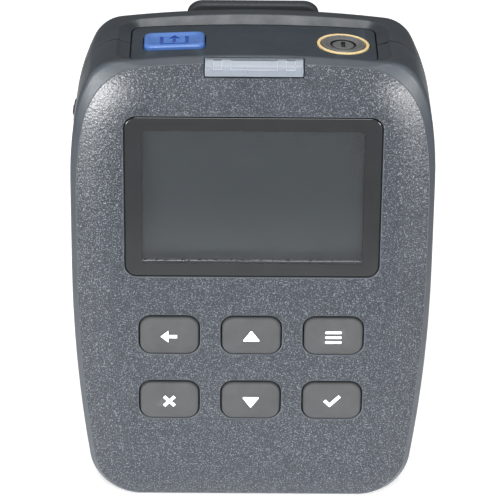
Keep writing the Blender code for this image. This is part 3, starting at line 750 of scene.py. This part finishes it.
def build_front_shell():
    rows = front_profile()
    rings = [case_ring(depth, inset, face=face) for depth, inset, face, _ in rows]
    slots = [slot for _, _, _, slot in rows[1:]] + [1]
    looks = "case grain seal"
    shell = solid(loft(rings, slots), "front_shell_detail", looks)
    hollow = [case_ring(depth, WALL, ceiling=HEIGHT - TOP_SOLID) for depth in (1.0, FACE_Y + 3.0)]
    cut(shell, loft(hollow))
    inlet_block = box(INLET_BLOCK_X, (-INLET_BLOCK_Y, -EDGE), INLET_BLOCK_Z)
    join(shell, at_screws(CASE_SCREWS, BOSS_R, -15.0, -GAP), inlet_block)
    half, tall, centre = plate("display_window")
    corner = WINDOW_CORNER + GAP
    seat = flared(half + GAP, tall + GAP, corner, centre, FACE_Y, FACE_Y + 1.7, WINDOW_EDGE)
    view = prism(rounded(half - 3.5, tall - 3.0, 1.0, centre), -19.0, -12.0, "Y")
    half_w, half_h = KEY_HALF[0] + GAP, KEY_HALF[1] + GAP
    corner = KEY_CORNER + GAP
    keys = [flared(half_w, half_h, corner, spot(name), FACE_Y, -12.0, 0.35) for name in KEY_NAMES]
    cut(shell, recess_cutter(), lens_notch())
    cut(shell, box(*SWITCH_POCKET))
    cut(shell, box(*LAMP_SLOT))
    cut(shell, seat, view, merged(*keys))
    cut(shell, at_screws(CASE_SCREWS, PILOT_R, -9.0, 1.0, 20), inlet_pocket(), box(*INLET_SLOT))
    show(shell, "case", "case_grey", "front_shell")


def build_rear_shell():
    rings = [case_ring(*row) for row in rear_profile()]
    # the first band, at the seam, takes the near-black seal colour as painted shade in the gap
    slots = [1] + [0] * len(rings)
    shell = solid(loft(rings, slots), "rear_shell_detail", "case seal")
    hollow = [
        case_ring(-1.0, WALL, ceiling=HEIGHT - TOP_SOLID),
        case_ring(REAR_Y - 2.4, 3.2, 0.965, ceiling=HEIGHT - TOP_SOLID),
    ]
    inlet_block = box(INLET_BLOCK_X, (EDGE, INLET_BLOCK_Y), INLET_BLOCK_Z)
    cut(shell, loft(hollow))
    join(shell, at_screws(CASE_SCREWS, BOSS_R, GAP, 16.5), inlet_block, box(*BATTERY_TUB))
    half, tall, centre = plate("battery_door")
    rebate = flared(half + GAP, tall + GAP, 2.3, centre, REAR_Y, REAR_Y - 2.2, 0.25)
    cut(shell, rebate, box(*CELL_BAY))
    cut(shell, box(*HOOK_SLOT), recess_cutter())
    cut(shell, box(*SWITCH_POCKET))
    mouths = [
        flared(HEAD_HOLE_R, HEAD_HOLE_R, HEAD_HOLE_R - 0.01, spot(name), REAR_Y - 0.1, 14.4, 0.4)
        for name in CASE_SCREWS
    ]
    clip_holes = at_screws(CLIP_SCREWS, 1.3, 14.0, 20.0, 40)
    cut(shell, at_screws(CASE_SCREWS, SHAFT_R, -1.0, 15.2, 20), merged(*mouths), clip_holes)
    _, (near, far), (foot, head) = span("port_cover")
    centre = ((near + far) / 2, (foot + head) / 2)
    seat = rounded((far - near) / 2 + GAP, (head - foot) / 2 + GAP, 1.8, centre)
    cut(shell, prism(seat, -50.0, -43.6, "X"))
    socket_way = box((-45.0, -38.0), (5.4, 10.6), (foot + 2.8, head - 2.8))
    cut(shell, socket_way, inlet_pocket(), box(*INLET_SLOT))
    show(shell, "case", "case_grey", "rear_shell")


def build_seal():
    """The gasket held between the two shells, just inside the seam, near-black as painted shade in the gap.
    """
    edge, thick = 0.45, SEAM_HALF - 0.01
    rings = [case_ring(-thick, edge), case_ring(thick, edge)]
    seal = solid(loft(rings), "case_seal", "seal")
    inner = [case_ring(depth, WALL - 0.1, ceiling=HEIGHT - TOP_SOLID) for depth in (-1.0, 1.0)]
    cut(seal, loft(inner), recess_cutter(), box(*SWITCH_POCKET), inlet_pocket())
    show(seal, "case", "rubber")


# ---- the top end


def top_place(at):
    """Upright and centred on the origin, to its seat on the arched panel."""
    x, y = at
    lean = math.asin(PANEL_ARCH * x / ARCH_RADIUS)
    seat = (x, y, HEIGHT - RECESS_DEPTH - PANEL_ARCH * arch_drop(x) - PANEL_TILT * y)
    turn = Matrix.Rotation(-PANEL_TILT, 4, "X") @ Matrix.Rotation(lean, 4, "Y")
    return Matrix.Translation(seat) @ turn


def build_top_panel():
    half, front, back, radius = FLOOR[0] - GAP, FLOOR[1] + GAP, FLOOR[2] - GAP, FLOOR[3] - GAP
    rings = []
    for inward, short in quarter(3):
        shrink = PANEL_EDGE * short
        depth = RECESS_DEPTH + PANEL_EDGE * inward
        rings.append((half - shrink, front + shrink, back - shrink, radius, depth, 1.0))
    rings.append((half, front, back, radius, RECESS_DEPTH + PANEL_THICK, 1.0))
    panel = solid(arched_plug(rings), "top_panel_detail", "panel")
    scan = flared(SCAN_HALF[0] + GAP, SCAN_HALF[1] + GAP, 1.8, (0.0, 0.0), 0.0, -4.0, 0.15, "Z")
    mouth, bore = RING_OUT + 0.35, RING_OUT + 0.2
    power = turned([(mouth, 2.0), (mouth, 0.05), (bore, -0.1), (bore, -4.0)], axis="Z", steps=64)
    cut(panel, carried(scan, top_place(SCAN_AT)), carried(power, top_place(POWER_AT)))
    show(panel, "case", "panel_dark", "top_panel")


def build_scan_button():
    """The blue key: a raised rim round a dished face, with a tray-and-arrow symbol."""
    half_w, half_h = SCAN_HALF
    dish = ((0.0, -2.2), (0.0, 0.25), (0.08, 0.55), (0.28, 0.83), (0.55, 0.97), (0.85, 1.0))
    dish += ((1.1, 0.95), (1.4, 0.83), (1.8, 0.70), (2.4, 0.61), (3.1, 0.57), (3.9, 0.55))
    sections = []
    for inset, level in dish:
        corner = min(1.5 + 0.35 * inset, half_h - inset)
        sections.append((rounded(half_w - inset, half_h - inset, corner), level))
    key = solid(stack(sections), "scan_button_detail", "blue blue_deep")
    skirt = prism(rounded(8.4, 5.7, 1.0), *BUTTON_FLANGE)
    stem = rod(*BUTTON_STEM, axis="Z")
    outer, inner, foot, base, head = 3.6, 2.7, -2.9, -2.1, 2.2
    right = [(outer, foot, 0.3), (outer, head, 0.2), (inner, head, 0.2), (inner, base, 0.2)]
    left = [(-a, b, radius) for a, b, radius in reversed(right)]
    tray = filleted([left[-1], *right, *left[:-1]], 3)
    arrow = arrow_outline(0.42, 1.0, 2.9, 1.55)
    # the debossed symbol's faces take the darker blue as painted shade
    marks = [painted(prism(outline, 0.28, 3.0)) for outline in (tray, arrow)]
    work(key, ("UNION", skirt), ("UNION", stem), ("DIFFERENCE", merged(*marks)))
    seated(key, SCAN_AT)
    show(key, "scan_button", "key_blue", "scan_button", angle=38)


def seated(piece, at):
    """Moves a finished piece from the origin to its seat on the arched panel."""
    to_row = Matrix.Translation((0.0, SEAM * MM, 0.0)) @ Matrix.Scale(MM, 4)
    piece.data.transform(to_row @ top_place(at) @ to_row.inverted())


def arrow_outline(stem, neck, tip, wing, tail=-1.5):
    right = [(stem, tail), (stem, neck), (wing, neck)]
    left = [(-a, b) for a, b in reversed(right)]
    return [left[-1], *right, (0.0, tip), *left[:-1]]


def build_power_button():
    profile = [(POWER_R, -2.2), (POWER_R, -0.15), (5.42, 0.12), (5.25, 0.30), (5.0, 0.38), (4.75, 0.36)]
    profile += [(4.5, 0.26), (4.2, 0.1), (3.9, -0.02), (3.5, -0.1), (2.6, -0.14)]
    looks = "button button_deep"
    button = solid(turned(profile, axis="Z", steps=72), "power_button_detail", looks)
    groove = turned([(3.3, -0.55), (3.3, 1.0)], axis="Z", steps=56)
    island = turned([(2.65, -0.6), (2.65, -0.2), (2.5, -0.1), (2.2, -0.06)], axis="Z", steps=56)
    bar = prism(rounded(0.52, 1.75, 0.3), -0.55, 1.0)
    work(
        button,
        ("UNION", rod(6.2, *BUTTON_FLANGE, axis="Z", steps=56)),
        ("UNION", rod(*BUTTON_STEM, axis="Z")),
        # the symbol's groove and bar take the near-black as painted shade
        ("DIFFERENCE", painted(groove)),
        ("UNION", island),
        ("DIFFERENCE", painted(bar)),
    )
    seated(button, POWER_AT)
    show(button, "power_button", "button_grey", "power_button")
    ring_profile = [(RING_OUT, -1.7)]
    centre, half = (RING_OUT + RING_IN) / 2, (RING_OUT - RING_IN) / 2
    for i in range(9):
        angle = math.pi * i / 8
        ring_profile.append((centre + half * math.cos(angle), half * 0.66 * math.sin(angle)))
    ring_profile.append((RING_IN, -1.7))
    rings = [[(r * c, r * s, z) for r, z in ring_profile] for c, s in circle(1.0, 72)]
    ring = solid(closed_loop(rings), "power_ring_detail", "amber")
    seated(ring, POWER_AT)
    show(ring, "case", "ring_amber", "power_ring")


def closed_loop(sections):
    """A ring-shaped solid through sections, each a closed line of points."""
    shape = bmesh.new()
    rows = [[shape.verts.new(point) for point in section] for section in sections]
    for near, far in zip(rows, rows[1:] + rows[:1]):
        skin(shape, near, far)
    return shape


def light_bar_outline():
    """The bar's (depth, height) outline: one soft curve from its top to its front."""
    front = ((-15.0, LENS_TOP, 1.1), (-16.55, LENS_TOP - 1.8, 2.6), (-16.6, LENS_LOW, 0.15))
    return filleted(((LENS_BACK, LENS_TOP, 0.0), *front, (LENS_BACK, LENS_LOW, 0.0)), 8)


def front_of(outline, level):
    """How far forward an outline reaches at one height."""
    depths = []
    for (y, z), (next_y, next_z) in zip(outline, outline[1:]):
        if min(z, next_z) <= level <= max(z, next_z) and z != next_z:
            depths.append(y + (next_y - y) * (level - z) / (next_z - z))
    return min(depths)


def build_light_bar():
    bar = solid(light_bar_shape(), "light_bar_detail", "lens groove groove_dark")
    show(bar, "case", "lens_clear", "light_bar")


def light_bar_shape(line=0.1, deep=0.12, ease=0.15):
    """The bar, with a long frame in the middle and a small one near each end cut as grooves."""
    outline = light_bar_outline()
    heart = (LENS_TOP + LENS_LOW) / 2
    mid = heart + FRAME_RISE
    sides = (-1.6, -1.0, 1.0, 1.6)
    across = [c + way * w + k * line for c, w in LENS_FRAMES for way in (-1, 1) for k in sides]
    across += [way * (LENS_HALF - inset) for way in (-1, 1) for inset in (0.0, 0.05, ease)]
    levels = {mid + way * FRAME_HALF + k * line for way in (-1, 1) for k in sides}
    levels = sorted(levels | {round(z, 3) for y, z in outline if y < LENS_BACK - 0.1})
    shape = bmesh.new()
    sunk = set()
    rows = []
    for x in sorted(across):
        over = max(0.0, abs(x) - LENS_HALF + ease)
        section = [(front_of(outline, z), z) for z in levels]
        section += [(LENS_BACK, LENS_TOP), (LENS_BACK, LENS_LOW)]
        section = toward(section, (-15.4, heart), 0.04 * (over / ease) ** 2)
        row = [shape.verts.new((x, y, z)) for y, z in section]
        for vert, z in zip(row, levels):
            gaps = [max(abs(x - c) - w, abs(z - mid) - FRAME_HALF) for c, w in LENS_FRAMES]
            if min(abs(gap) for gap in gaps) <= line + 1e-6:
                vert.co.y += deep
                sunk.add(vert)
        rows.append(row)
    for near, far in zip(rows, rows[1:]):
        for face in skin(shape, near, far):
            # sunk faces: painted shadow on the top lines, painted highlight on the others
            if all(vert in sunk for vert in face.verts):
                upper = face.calc_center_median().z > mid + FRAME_HALF - line
                face.material_index = 2 if upper else 1
    shape.faces.new(rows[0])
    shape.faces.new(rows[-1])
    return shape


def toward(outline, centre, share):
    return [(a + (centre[0] - a) * share, b + (centre[1] - b) * share) for a, b in outline]


# ---- the front face


def build_window():
    half, tall, centre = plate("display_window")
    front, back = (y - FACE_PROUD for y in span("display_window")[1])
    sections = rim(half, tall, WINDOW_CORNER, back, front, WINDOW_EDGE, centre, 4)
    sections.append((rounded(half - 4.2, tall - 3.6, 0.8, centre), front))
    rings = [[(a, level, b) for a, b in outline] for outline, level in sections]
    shape = loft(rings, [0] * (len(rings) - 1) + [1])
    for face in shape.faces:
        if len(face.verts) > 4 and face.calc_center_median().y > (front + back) / 2:
            face.material_index = 1
    window = solid(shape, "display_window_detail", "border glass")
    show(window, "case", "window_glass", "display_window")


def key_symbols():
    """A generic pictogram for each key, drawn about its centre."""
    def turned_by(points, quarters):
        spin = Matrix.Rotation(math.pi / 2 * quarters, 2)
        return [tuple(spin @ Vector(point)) for point in points]

    arrow = arrow_outline(0.45, 0.2, 2.2, 1.7, -2.0)
    triangle = filleted(((-2.3, -1.3, 0.25), (2.3, -1.3, 0.25), (0.0, 1.9, 0.25)), 3)
    arm, long = 0.42, 1.9
    plus = [(arm, arm), (arm, long), (-arm, long), (-arm, arm), (-long, arm), (-long, -arm)]
    plus += [(-a, -b) for a, b in plus]
    cross = turned_by(plus, 0.5)
    tick = ((-2.2, 0.1), (-1.6, 0.7), (-0.6, -0.3), (1.7, 2.0), (2.3, 1.4), (-0.6, -1.5))
    bars = [rounded(2.1, 0.34, 0.3, (0.0, z), 3) for z in (-1.4, 0.0, 1.4)]
    return {
        "key_back": [turned_by(arrow, 1)],
        "key_up": [triangle],
        "key_info": bars,
        "key_erase": [cross],
        "key_down": [turned_by(triangle, 2)],
        "key_enter": [tick],
    }


def build_keys():
    half_w, half_h = KEY_HALF
    for name, outlines in key_symbols().items():
        x, _, z = middle(name)
        front = span(name)[1][0] - FACE_PROUD
        sections = rim(half_w, half_h, KEY_CORNER, -13.5, front + 0.25, KEY_EDGE, (x, z), 6)
        for inset, level in ((1.6, 0.12), (2.6, 0.04), (3.6, 0.0)):
            sections.append((rounded(half_w - inset, half_h - inset, 1.4, (x, z)), front + level))
        key = solid(stack(sections, "Y"), f"{name}_detail", "rubber print")
        skirt = prism(rounded(half_w + KEY_SKIRT, half_h + KEY_SKIRT, 4.0, (x, z)), -13.9, -13.0, "Y")
        stem = rod(2.0, -13.3, -10.2, (x, z))
        moved = [[(a + x, b + z) for a, b in outline] for outline in outlines]
        marks = [painted(prism(outline, front - 0.05, front + 0.6, "Y")) for outline in moved]
        join(key, skirt, stem, merged(*marks))
        show(key, name, "rubber", name)


# ---- the rear


def build_battery_door():
    half, tall, centre = plate("battery_door")
    (near, far), (_, high) = span("battery_door")[1:]
    inner = 16.0
    door = solid(pillow(half, tall, 2.0, inner, far, 0.3, "Y", centre), "battery_door_detail", "case")
    hook = box((-4.0, 4.0), (near, inner + 0.5), (52.8, 54.2))
    join(door, hook)
    dimple = turned([(9.0, far + 1.0), (9.0, far), (8.0, far - 0.35), (6.5, far - 0.6), (4.0, far - 0.72)],
                    (0.0, high - 10.5), steps=72)
    cut(door, dimple)
    ribs = [
        pillow(5.0 - 0.35 * abs(i), 0.32, 0.3, far - 1.2, far - 0.25, 0.2, "Y", (0.0, high - 10.5 + 1.5 * i))
        for i in range(-3, 4)
    ]
    arrow = [(x, z + high - 22.5) for x, z in arrow_outline(0.9, 0.0, -2.4, 2.2, 2.2)]
    join(door, merged(*ribs))
    cut(door, prism(arrow, far - 0.35, far + 1.0, "Y"))
    show(door, "battery_door", "case_grey", "battery_door")


def clip_profile(drop, rise, inset):
    """The clip's (depth, height) outline, for one station across its width."""
    (_, far), (low, high) = span("belt_clip")[1:]
    top, foot = high - drop, low + rise
    inner, outer = CLIP_INNER + inset, far - inset
    return filleted(
        (
            (outer, top, 0.6 - 0.4 * inset),
            (inner, top, 1.1 - 0.8 * inset),
            (inner, foot + 8.5, 4.0),
            (CLIP_FOOT + inset, foot + 3.0, 0.8),
            (CLIP_FOOT + 0.9 + inset, foot, 1.2),
            (outer, foot, 2.2),
        ),
        6,
    )


def lug(side, root_y, steps=20):
    """An eye round the hinge pin: half a circle on one side, straight to its root on the other."""
    _, pin_y, pin_z = middle("clip_pin")
    points = []
    for i in range(steps + 1):
        angle = math.pi * i / steps
        points.append((pin_y + side * LUG_R * math.sin(angle), pin_z + LUG_R * math.cos(angle)))
    return points + [(root_y, pin_z - LUG_R), (root_y, pin_z + LUG_R)]


def build_clip():
    (_, half), (_, far), (low, high) = span("belt_clip")
    _, pin_y, pin_z = middle("clip_pin")
    half += CLIP_WIDER
    stations = []
    for i in range(13):
        angle = math.pi / 2 * i / 12
        across = half - CLIP_CORNER + CLIP_CORNER * math.sin(angle)
        drop = CLIP_DROP * (1 - math.cos(angle))
        near_end = max(0.0, across - half + CLIP_EDGE) / CLIP_EDGE
        stations.append((across, drop, CLIP_EDGE * (1 - math.sqrt(1 - near_end**2))))
    stations = [(-x, d, e) for x, d, e in reversed(stations)] + stations
    rings = [[(x, y, z) for y, z in clip_profile(drop, drop, inset)] for x, drop, inset in stations]
    clip = solid(loft(rings), "belt_clip_detail", "clip")
    cheeks = [prism(lug(-1, 25.4), x, x + LUG_THICK, "X") for x in (-12.4, 10.4)]
    ribs = [
        pillow(10.5, 0.38, 0.35, far - 0.6, far + 0.35, 0.25, "Y", (0.0, high - 5.0 - 1.9 * i))
        for i in range(5)
    ]
    join(clip, merged(*cheeks), merged(*ribs))
    window = flared(11.5, 11.0, 2.5, (0.0, low + 19.0), far, far - 0.5, 0.2)
    cut(clip, window, rod(PIN_HOLE_R, -15.0, 15.0, (pin_y, pin_z), "X"))
    show(clip, "belt_clip", "case_grey", "belt_clip")

    half, tall, centre = plate("clip_bracket")
    base = pillow(half, tall, 1.5, span("clip_bracket")[1][0], 19.8, 0.3, "Y", centre)
    bracket = solid(base, "clip_bracket_detail", "clip")
    ears = [prism(lug(1, 19.4), x, x + LUG_THICK, "X") for x in (-10.0, 8.0)]
    join(bracket, merged(*ears))
    holes = at_screws(CLIP_SCREWS, 1.4, 17.0, 21.0, 40)
    cut(bracket, rod(PIN_HOLE_R, -15.0, 15.0, (pin_y, pin_z), "X"), holes)
    show(bracket, "case", "case_grey", "clip_bracket")

    ends = [(0.8, -13.4), (1.1, -13.25), (1.2, -13.0), (1.2, 13.0), (1.1, 13.25), (0.8, 13.4)]
    pin = solid(turned(ends, (pin_y, pin_z), "X"), "clip_pin_detail", "steel")
    show(pin, "case", "steel", "clip_pin")
    wound = carried(coil((1.95, 1.95), 1.1, 9.0, 0.32), Matrix.Translation((-4.95, pin_y, pin_z)))
    show(solid(wound, "clip_spring_detail", "steel"), "case", "steel", "clip_spring")


def build_screw(node, head, rim, shank, socket):
    """A pan-head screw along Y with a six-sided socket."""
    x, _, z = middle(node)
    near, far = span(node)[1]
    profile = [(shank * 0.5, near), (shank, near + 0.8), (shank, far - head - 0.1)]
    profile += [(rim, far - head), (rim, far - 0.6), (rim - 0.12, far - 0.28)]
    profile += [(rim - 0.45, far - 0.07), (rim - 0.9, far)]
    screw = solid(turned(profile, (x, z)), f"{node}_detail", "black_steel")
    cut(screw, rod(socket, far - 1.0, far + 1.0, (x, z), steps=6))
    show(screw, "case", "steel", node)


def build_screws():
    for name in CASE_SCREWS:
        build_screw(name, 2.0, 2.6, 0.95, 1.2)
    for name in CLIP_SCREWS:
        build_screw(name, 1.4, 2.3, 1.05, 1.0)


def flank(z):
    """The case's half width at a height on its upper side."""
    right = half_outline(0.0)
    for (x_above, z_above), (x_below, z_below) in zip(right, right[1:]):
        if z_below <= z <= z_above and z_above > z_below:
            return x_above + (x_below - x_above) * (z_above - z) / (z_above - z_below)
    return right[0][0]


def build_port_cover():
    """A rubber cover that follows the flank, with a lip to lift it by and a plug behind."""
    (_, right), (near, far), (low, high) = span("port_cover")
    centre = ((near + far) / 2, (low + high) / 2)
    half_y, half_z = (far - near) / 2, (high - low) / 2
    top_x, foot_x = (-(flank(z) + COVER_PROUD) for z in (high, low))
    slope = (top_x - foot_x) / (high - low)
    shape = pillow(half_y, half_z, 1.5, -43.9, foot_x, 0.5, "X", centre)
    lip = pillow(2.4, 0.5, 0.45, foot_x + 0.5, foot_x - 0.3, 0.3, "X", (centre[0], high - 2.0))
    ribs = [
        pillow(2.2, 0.3, 0.28, foot_x + 0.5, foot_x - 0.2, 0.15, "X", (centre[0], low + 3.2 + 1.3 * i))
        for i in range(3)
    ]
    for drawn in (shape, lip, *ribs):
        for vert in drawn.verts:
            if vert.co.x < -44.2:
                vert.co.x += slope * (vert.co.z - low)
    cover = solid(shape, "port_cover_detail", "rubber")
    plug = pillow(1.8, half_z - 4.3, 0.6, -44.2, right, 0.2, "X", centre)
    join(cover, plug, merged(lip, *ribs))
    show(cover, "port_cover", "rubber", "port_cover")


# ---- the foot


def d_shape(grow, steps=10):
    """The connector's D outline, narrower at the back."""
    points = []
    radius = 2.2 + grow
    for quarter, (x, y) in enumerate(((10.2, 2.0), (-10.2, 2.0), (-9.4, -2.0), (9.4, -2.0))):
        for i in range(steps + 1):
            angle = math.pi / 2 * (quarter + i / steps)
            points.append((x + radius * math.cos(angle), y + radius * math.sin(angle)))
    return points


def d_stack(*sections):
    return stack([(d_shape(grow), level) for grow, level in sections])


def build_inlet():
    posts = [middle(f"jack_post_{side}") for side in ("left", "right")]
    flange = solid(pillow(19.6, 6.25, 1.2, 10.3, 9.3, 0.2), "inlet_shell_detail", "steel")
    tube = d_stack((0.0, 9.8), (0.0, 5.0), (-0.06, 4.86), (-0.2, 4.8))
    join(flange, tube, d_stack((0.5, 9.5), (0.22, 9.2), (0.02, 8.7)))
    holes = [rod(1.6, 8.0, 12.0, (x, 0.0), "Z") for x, _, _ in posts]
    cut(flange, d_stack((-0.3, 4.0), (-0.3, 4.8), (-0.5, 5.0), (-0.5, 11.0)), merged(*holes))
    show(flange, "case", "steel", "inlet_shell")
    for side, (x, _, _) in zip(("left", "right"), posts):
        hexagon = [(2.1, 5.0), (2.4, 5.25), (2.4, 8.8), (2.2, 9.0)]
        post = solid(turned(hexagon, (x, 0.0), "Z", 6), f"jack_post_{side}_detail", "steel")
        join(post, rod(1.4, 8.5, 10.5, (x, 0.0), "Z"))
        bore = turned([(1.75, 4.8), (1.5, 5.05), (1.3, 5.25), (1.3, 8.0)], (x, 0.0), "Z")
        cut(post, bore)
        show(post, "case", "steel", f"jack_post_{side}")


# ---- inside


def build_cells():
    for name in ("cell_lower", "cell_upper"):
        (low, high), _, _ = span(name)
        _, y, z = middle(name)
        way = 1.0 if name == "cell_lower" else -1.0
        flat = low if way > 0 else high
        radius = 7.25
        profile = [(6.3, 0.0), (6.6, 0.05), (7.0, 0.2), (radius, 0.5), (radius, 36.0), (radius, 48.7)]
        profile += [(7.05, 49.0), (6.6, 49.18), (5.2, 49.2), (2.8, 49.25), (2.7, 50.3), (2.3, 50.5)]
        rings = [[(flat + way * level, a, b) for a, b in circle(r, 56, (y, z))] for r, level in profile]
        slots = [2, 0, 0, 0, 1, 1, 1, 2, 2, 2, 2, 2]
        looks = "cell cell_band steel"
        show(solid(loft(rings, slots), f"{name}_detail", looks), "case", "cell_skin", name)


def dress_inner_nodes():
    """Materials and softened edges for the CAD nodes that stay as they are."""
    dressed = {
        "board": "main_board switch_board light_board usb_board",
        "chip": "processor memory_chip bus_transceiver power_inductor buzzer scan_switch"
        " power_switch inlet_body",
        "steel": "display_tray crystal usb_socket contact_bridge contact_minus contact_plus",
        "gold": "inlet_pins",
        "film": "display_ribbon dome_sheet",
        "screen": "display_panel",
    }
    for look, names in dressed.items():
        for name in names.split():
            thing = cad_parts[name]
            thing.data.materials.clear()
            thing.data.materials.append(LOOKS[look])
            weld = thing.modifiers.new("weld", "WELD")
            weld.merge_threshold = 1e-6
            soften = thing.modifiers.new("soften", "BEVEL")
            soften.width = 0.08 * MM
            soften.segments = 2
            soften.limit_method = "ANGLE"
            soften.angle_limit = math.radians(40)
            soften.harden_normals = True


# ---- the studio


# The floor's painted pool of light, in metres, and the camera: azimuth, elevation and roll in
# degrees, distance in metres, focal length as a share of the frame, and its aim in millimetres
POOL_Y, POOL_HALF, POOL_GLOW, POOL_OUTSIDE = 0.17, (0.17, 0.25), 0.5, (0.34, 0.34, 0.34)
CAMERA_ANGLES, CAMERA_AWAY, FOCAL_SHARE, CAMERA_AIM = (-0.553, 27.076, 0.6135), 0.8, 6.1386, (-0.35, 63.45)


def build_floor():
    shape = bmesh.new()
    bmesh.ops.create_grid(shape, x_segments=8, y_segments=8, size=4.0)
    bmesh.ops.translate(shape, verts=shape.verts, vec=(0.0, 0.0, -0.0001))
    mesh = bpy.data.meshes.new("floor")
    shape.to_mesh(mesh)
    shape.free()
    floor = placed("floor", mesh)
    pale = Finish("floor_painted_light_pool", (0.90, 0.90, 0.90), 0.7, Emission_Color=(1.0, 1.0, 1.0, 1.0))
    # a painted pool of light round and behind the object: a glow and a paler colour, falling off to grey
    half_x, half_y = POOL_HALF
    away = pale.node("ShaderNodeVectorMath", operation="LENGTH")
    pale.mapped(away, Scale=(1 / half_x, 1 / half_y, 1.0), Location=(0.0, -POOL_Y / half_y, 0.0))
    away = away.outputs["Value"]
    pale.paint(pale.mixed(pale.ranged(away, 1.0, 1.5, 0.0, 1.0), pale.colour, POOL_OUTSIDE))
    glow = pale.ranged(away, 1.0, 1.5, POOL_GLOW, 0.0)
    pale.link(glow, pale.shader.inputs["Emission Strength"])
    mesh.materials.append(pale.material)


def softbox(name, place, size, power):
    """A rectangular area light aimed at the top of the object."""
    lamp = bpy.data.lights.new(name, "AREA")
    lamp.shape = "RECTANGLE"
    lamp.size, lamp.size_y = size
    lamp.energy = power
    thing = placed(name, lamp)
    thing.location = place
    away = Vector((0.0, 0.0, HEIGHT * MM)) - Vector(place)
    thing.rotation_euler = away.to_track_quat("-Z", "Y").to_euler()
    thing.visible_camera = False


def build_light():
    world = bpy.data.worlds.new("studio")
    world.use_nodes = True
    background = world.node_tree.nodes["Background"]
    background.inputs["Color"].default_value = (1.0, 1.0, 1.0, 1.0)
    background.inputs["Strength"].default_value = 0.18
    bpy.context.scene.world = world
    softbox("left_box", (-0.48, -0.64, 0.09), (0.40, 0.17), 10.0)
    softbox("right_box", (0.48, -0.64, 0.09), (0.30, 0.17), 6.6)
    softbox("front_box", (0.0, -0.92, 0.90), (0.6, 0.35), 8.6)
    softbox("high_box", (0.0, -0.60, 1.17), (0.6, 0.45), 6.4)
    softbox("rear_box", (0.0, 0.75, 1.0), (0.6, 0.4), 1.2)


def build_camera():
    """A long lens, a little above the object and turned very slightly."""
    azimuth, elevation, roll = (math.radians(a) for a in CAMERA_ANGLES)
    turn = Matrix.Rotation(azimuth, 4, "Z") @ Matrix.Rotation(math.pi / 2 - elevation, 4, "X")
    turn = turn @ Matrix.Rotation(roll, 4, "Z")
    lens = bpy.data.cameras.new("camera")
    lens.sensor_width = 36.0
    lens.lens = lens.sensor_width * FOCAL_SHARE
    camera = placed("camera", lens)
    aim = Vector((CAMERA_AIM[0] * MM, 0.0, (HEIGHT - CAMERA_AIM[1]) * MM))
    camera.matrix_world = Matrix.Translation(aim) @ turn @ Matrix.Translation((0.0, 0.0, CAMERA_AWAY))
    bpy.context.scene.camera = camera


def main():
    bpy.context.scene.view_settings.view_transform = "Standard"
    build_camera()
    build_light()
    build_floor()
    make_materials()
    for build in (
        build_front_shell,
        build_rear_shell,
        build_seal,
        build_top_panel,
        build_scan_button,
        build_power_button,
        build_light_bar,
        build_window,
        build_keys,
        build_battery_door,
        build_clip,
        build_screws,
        build_port_cover,
        build_inlet,
        build_cells,
        dress_inner_nodes,
    ):
        build()


main()
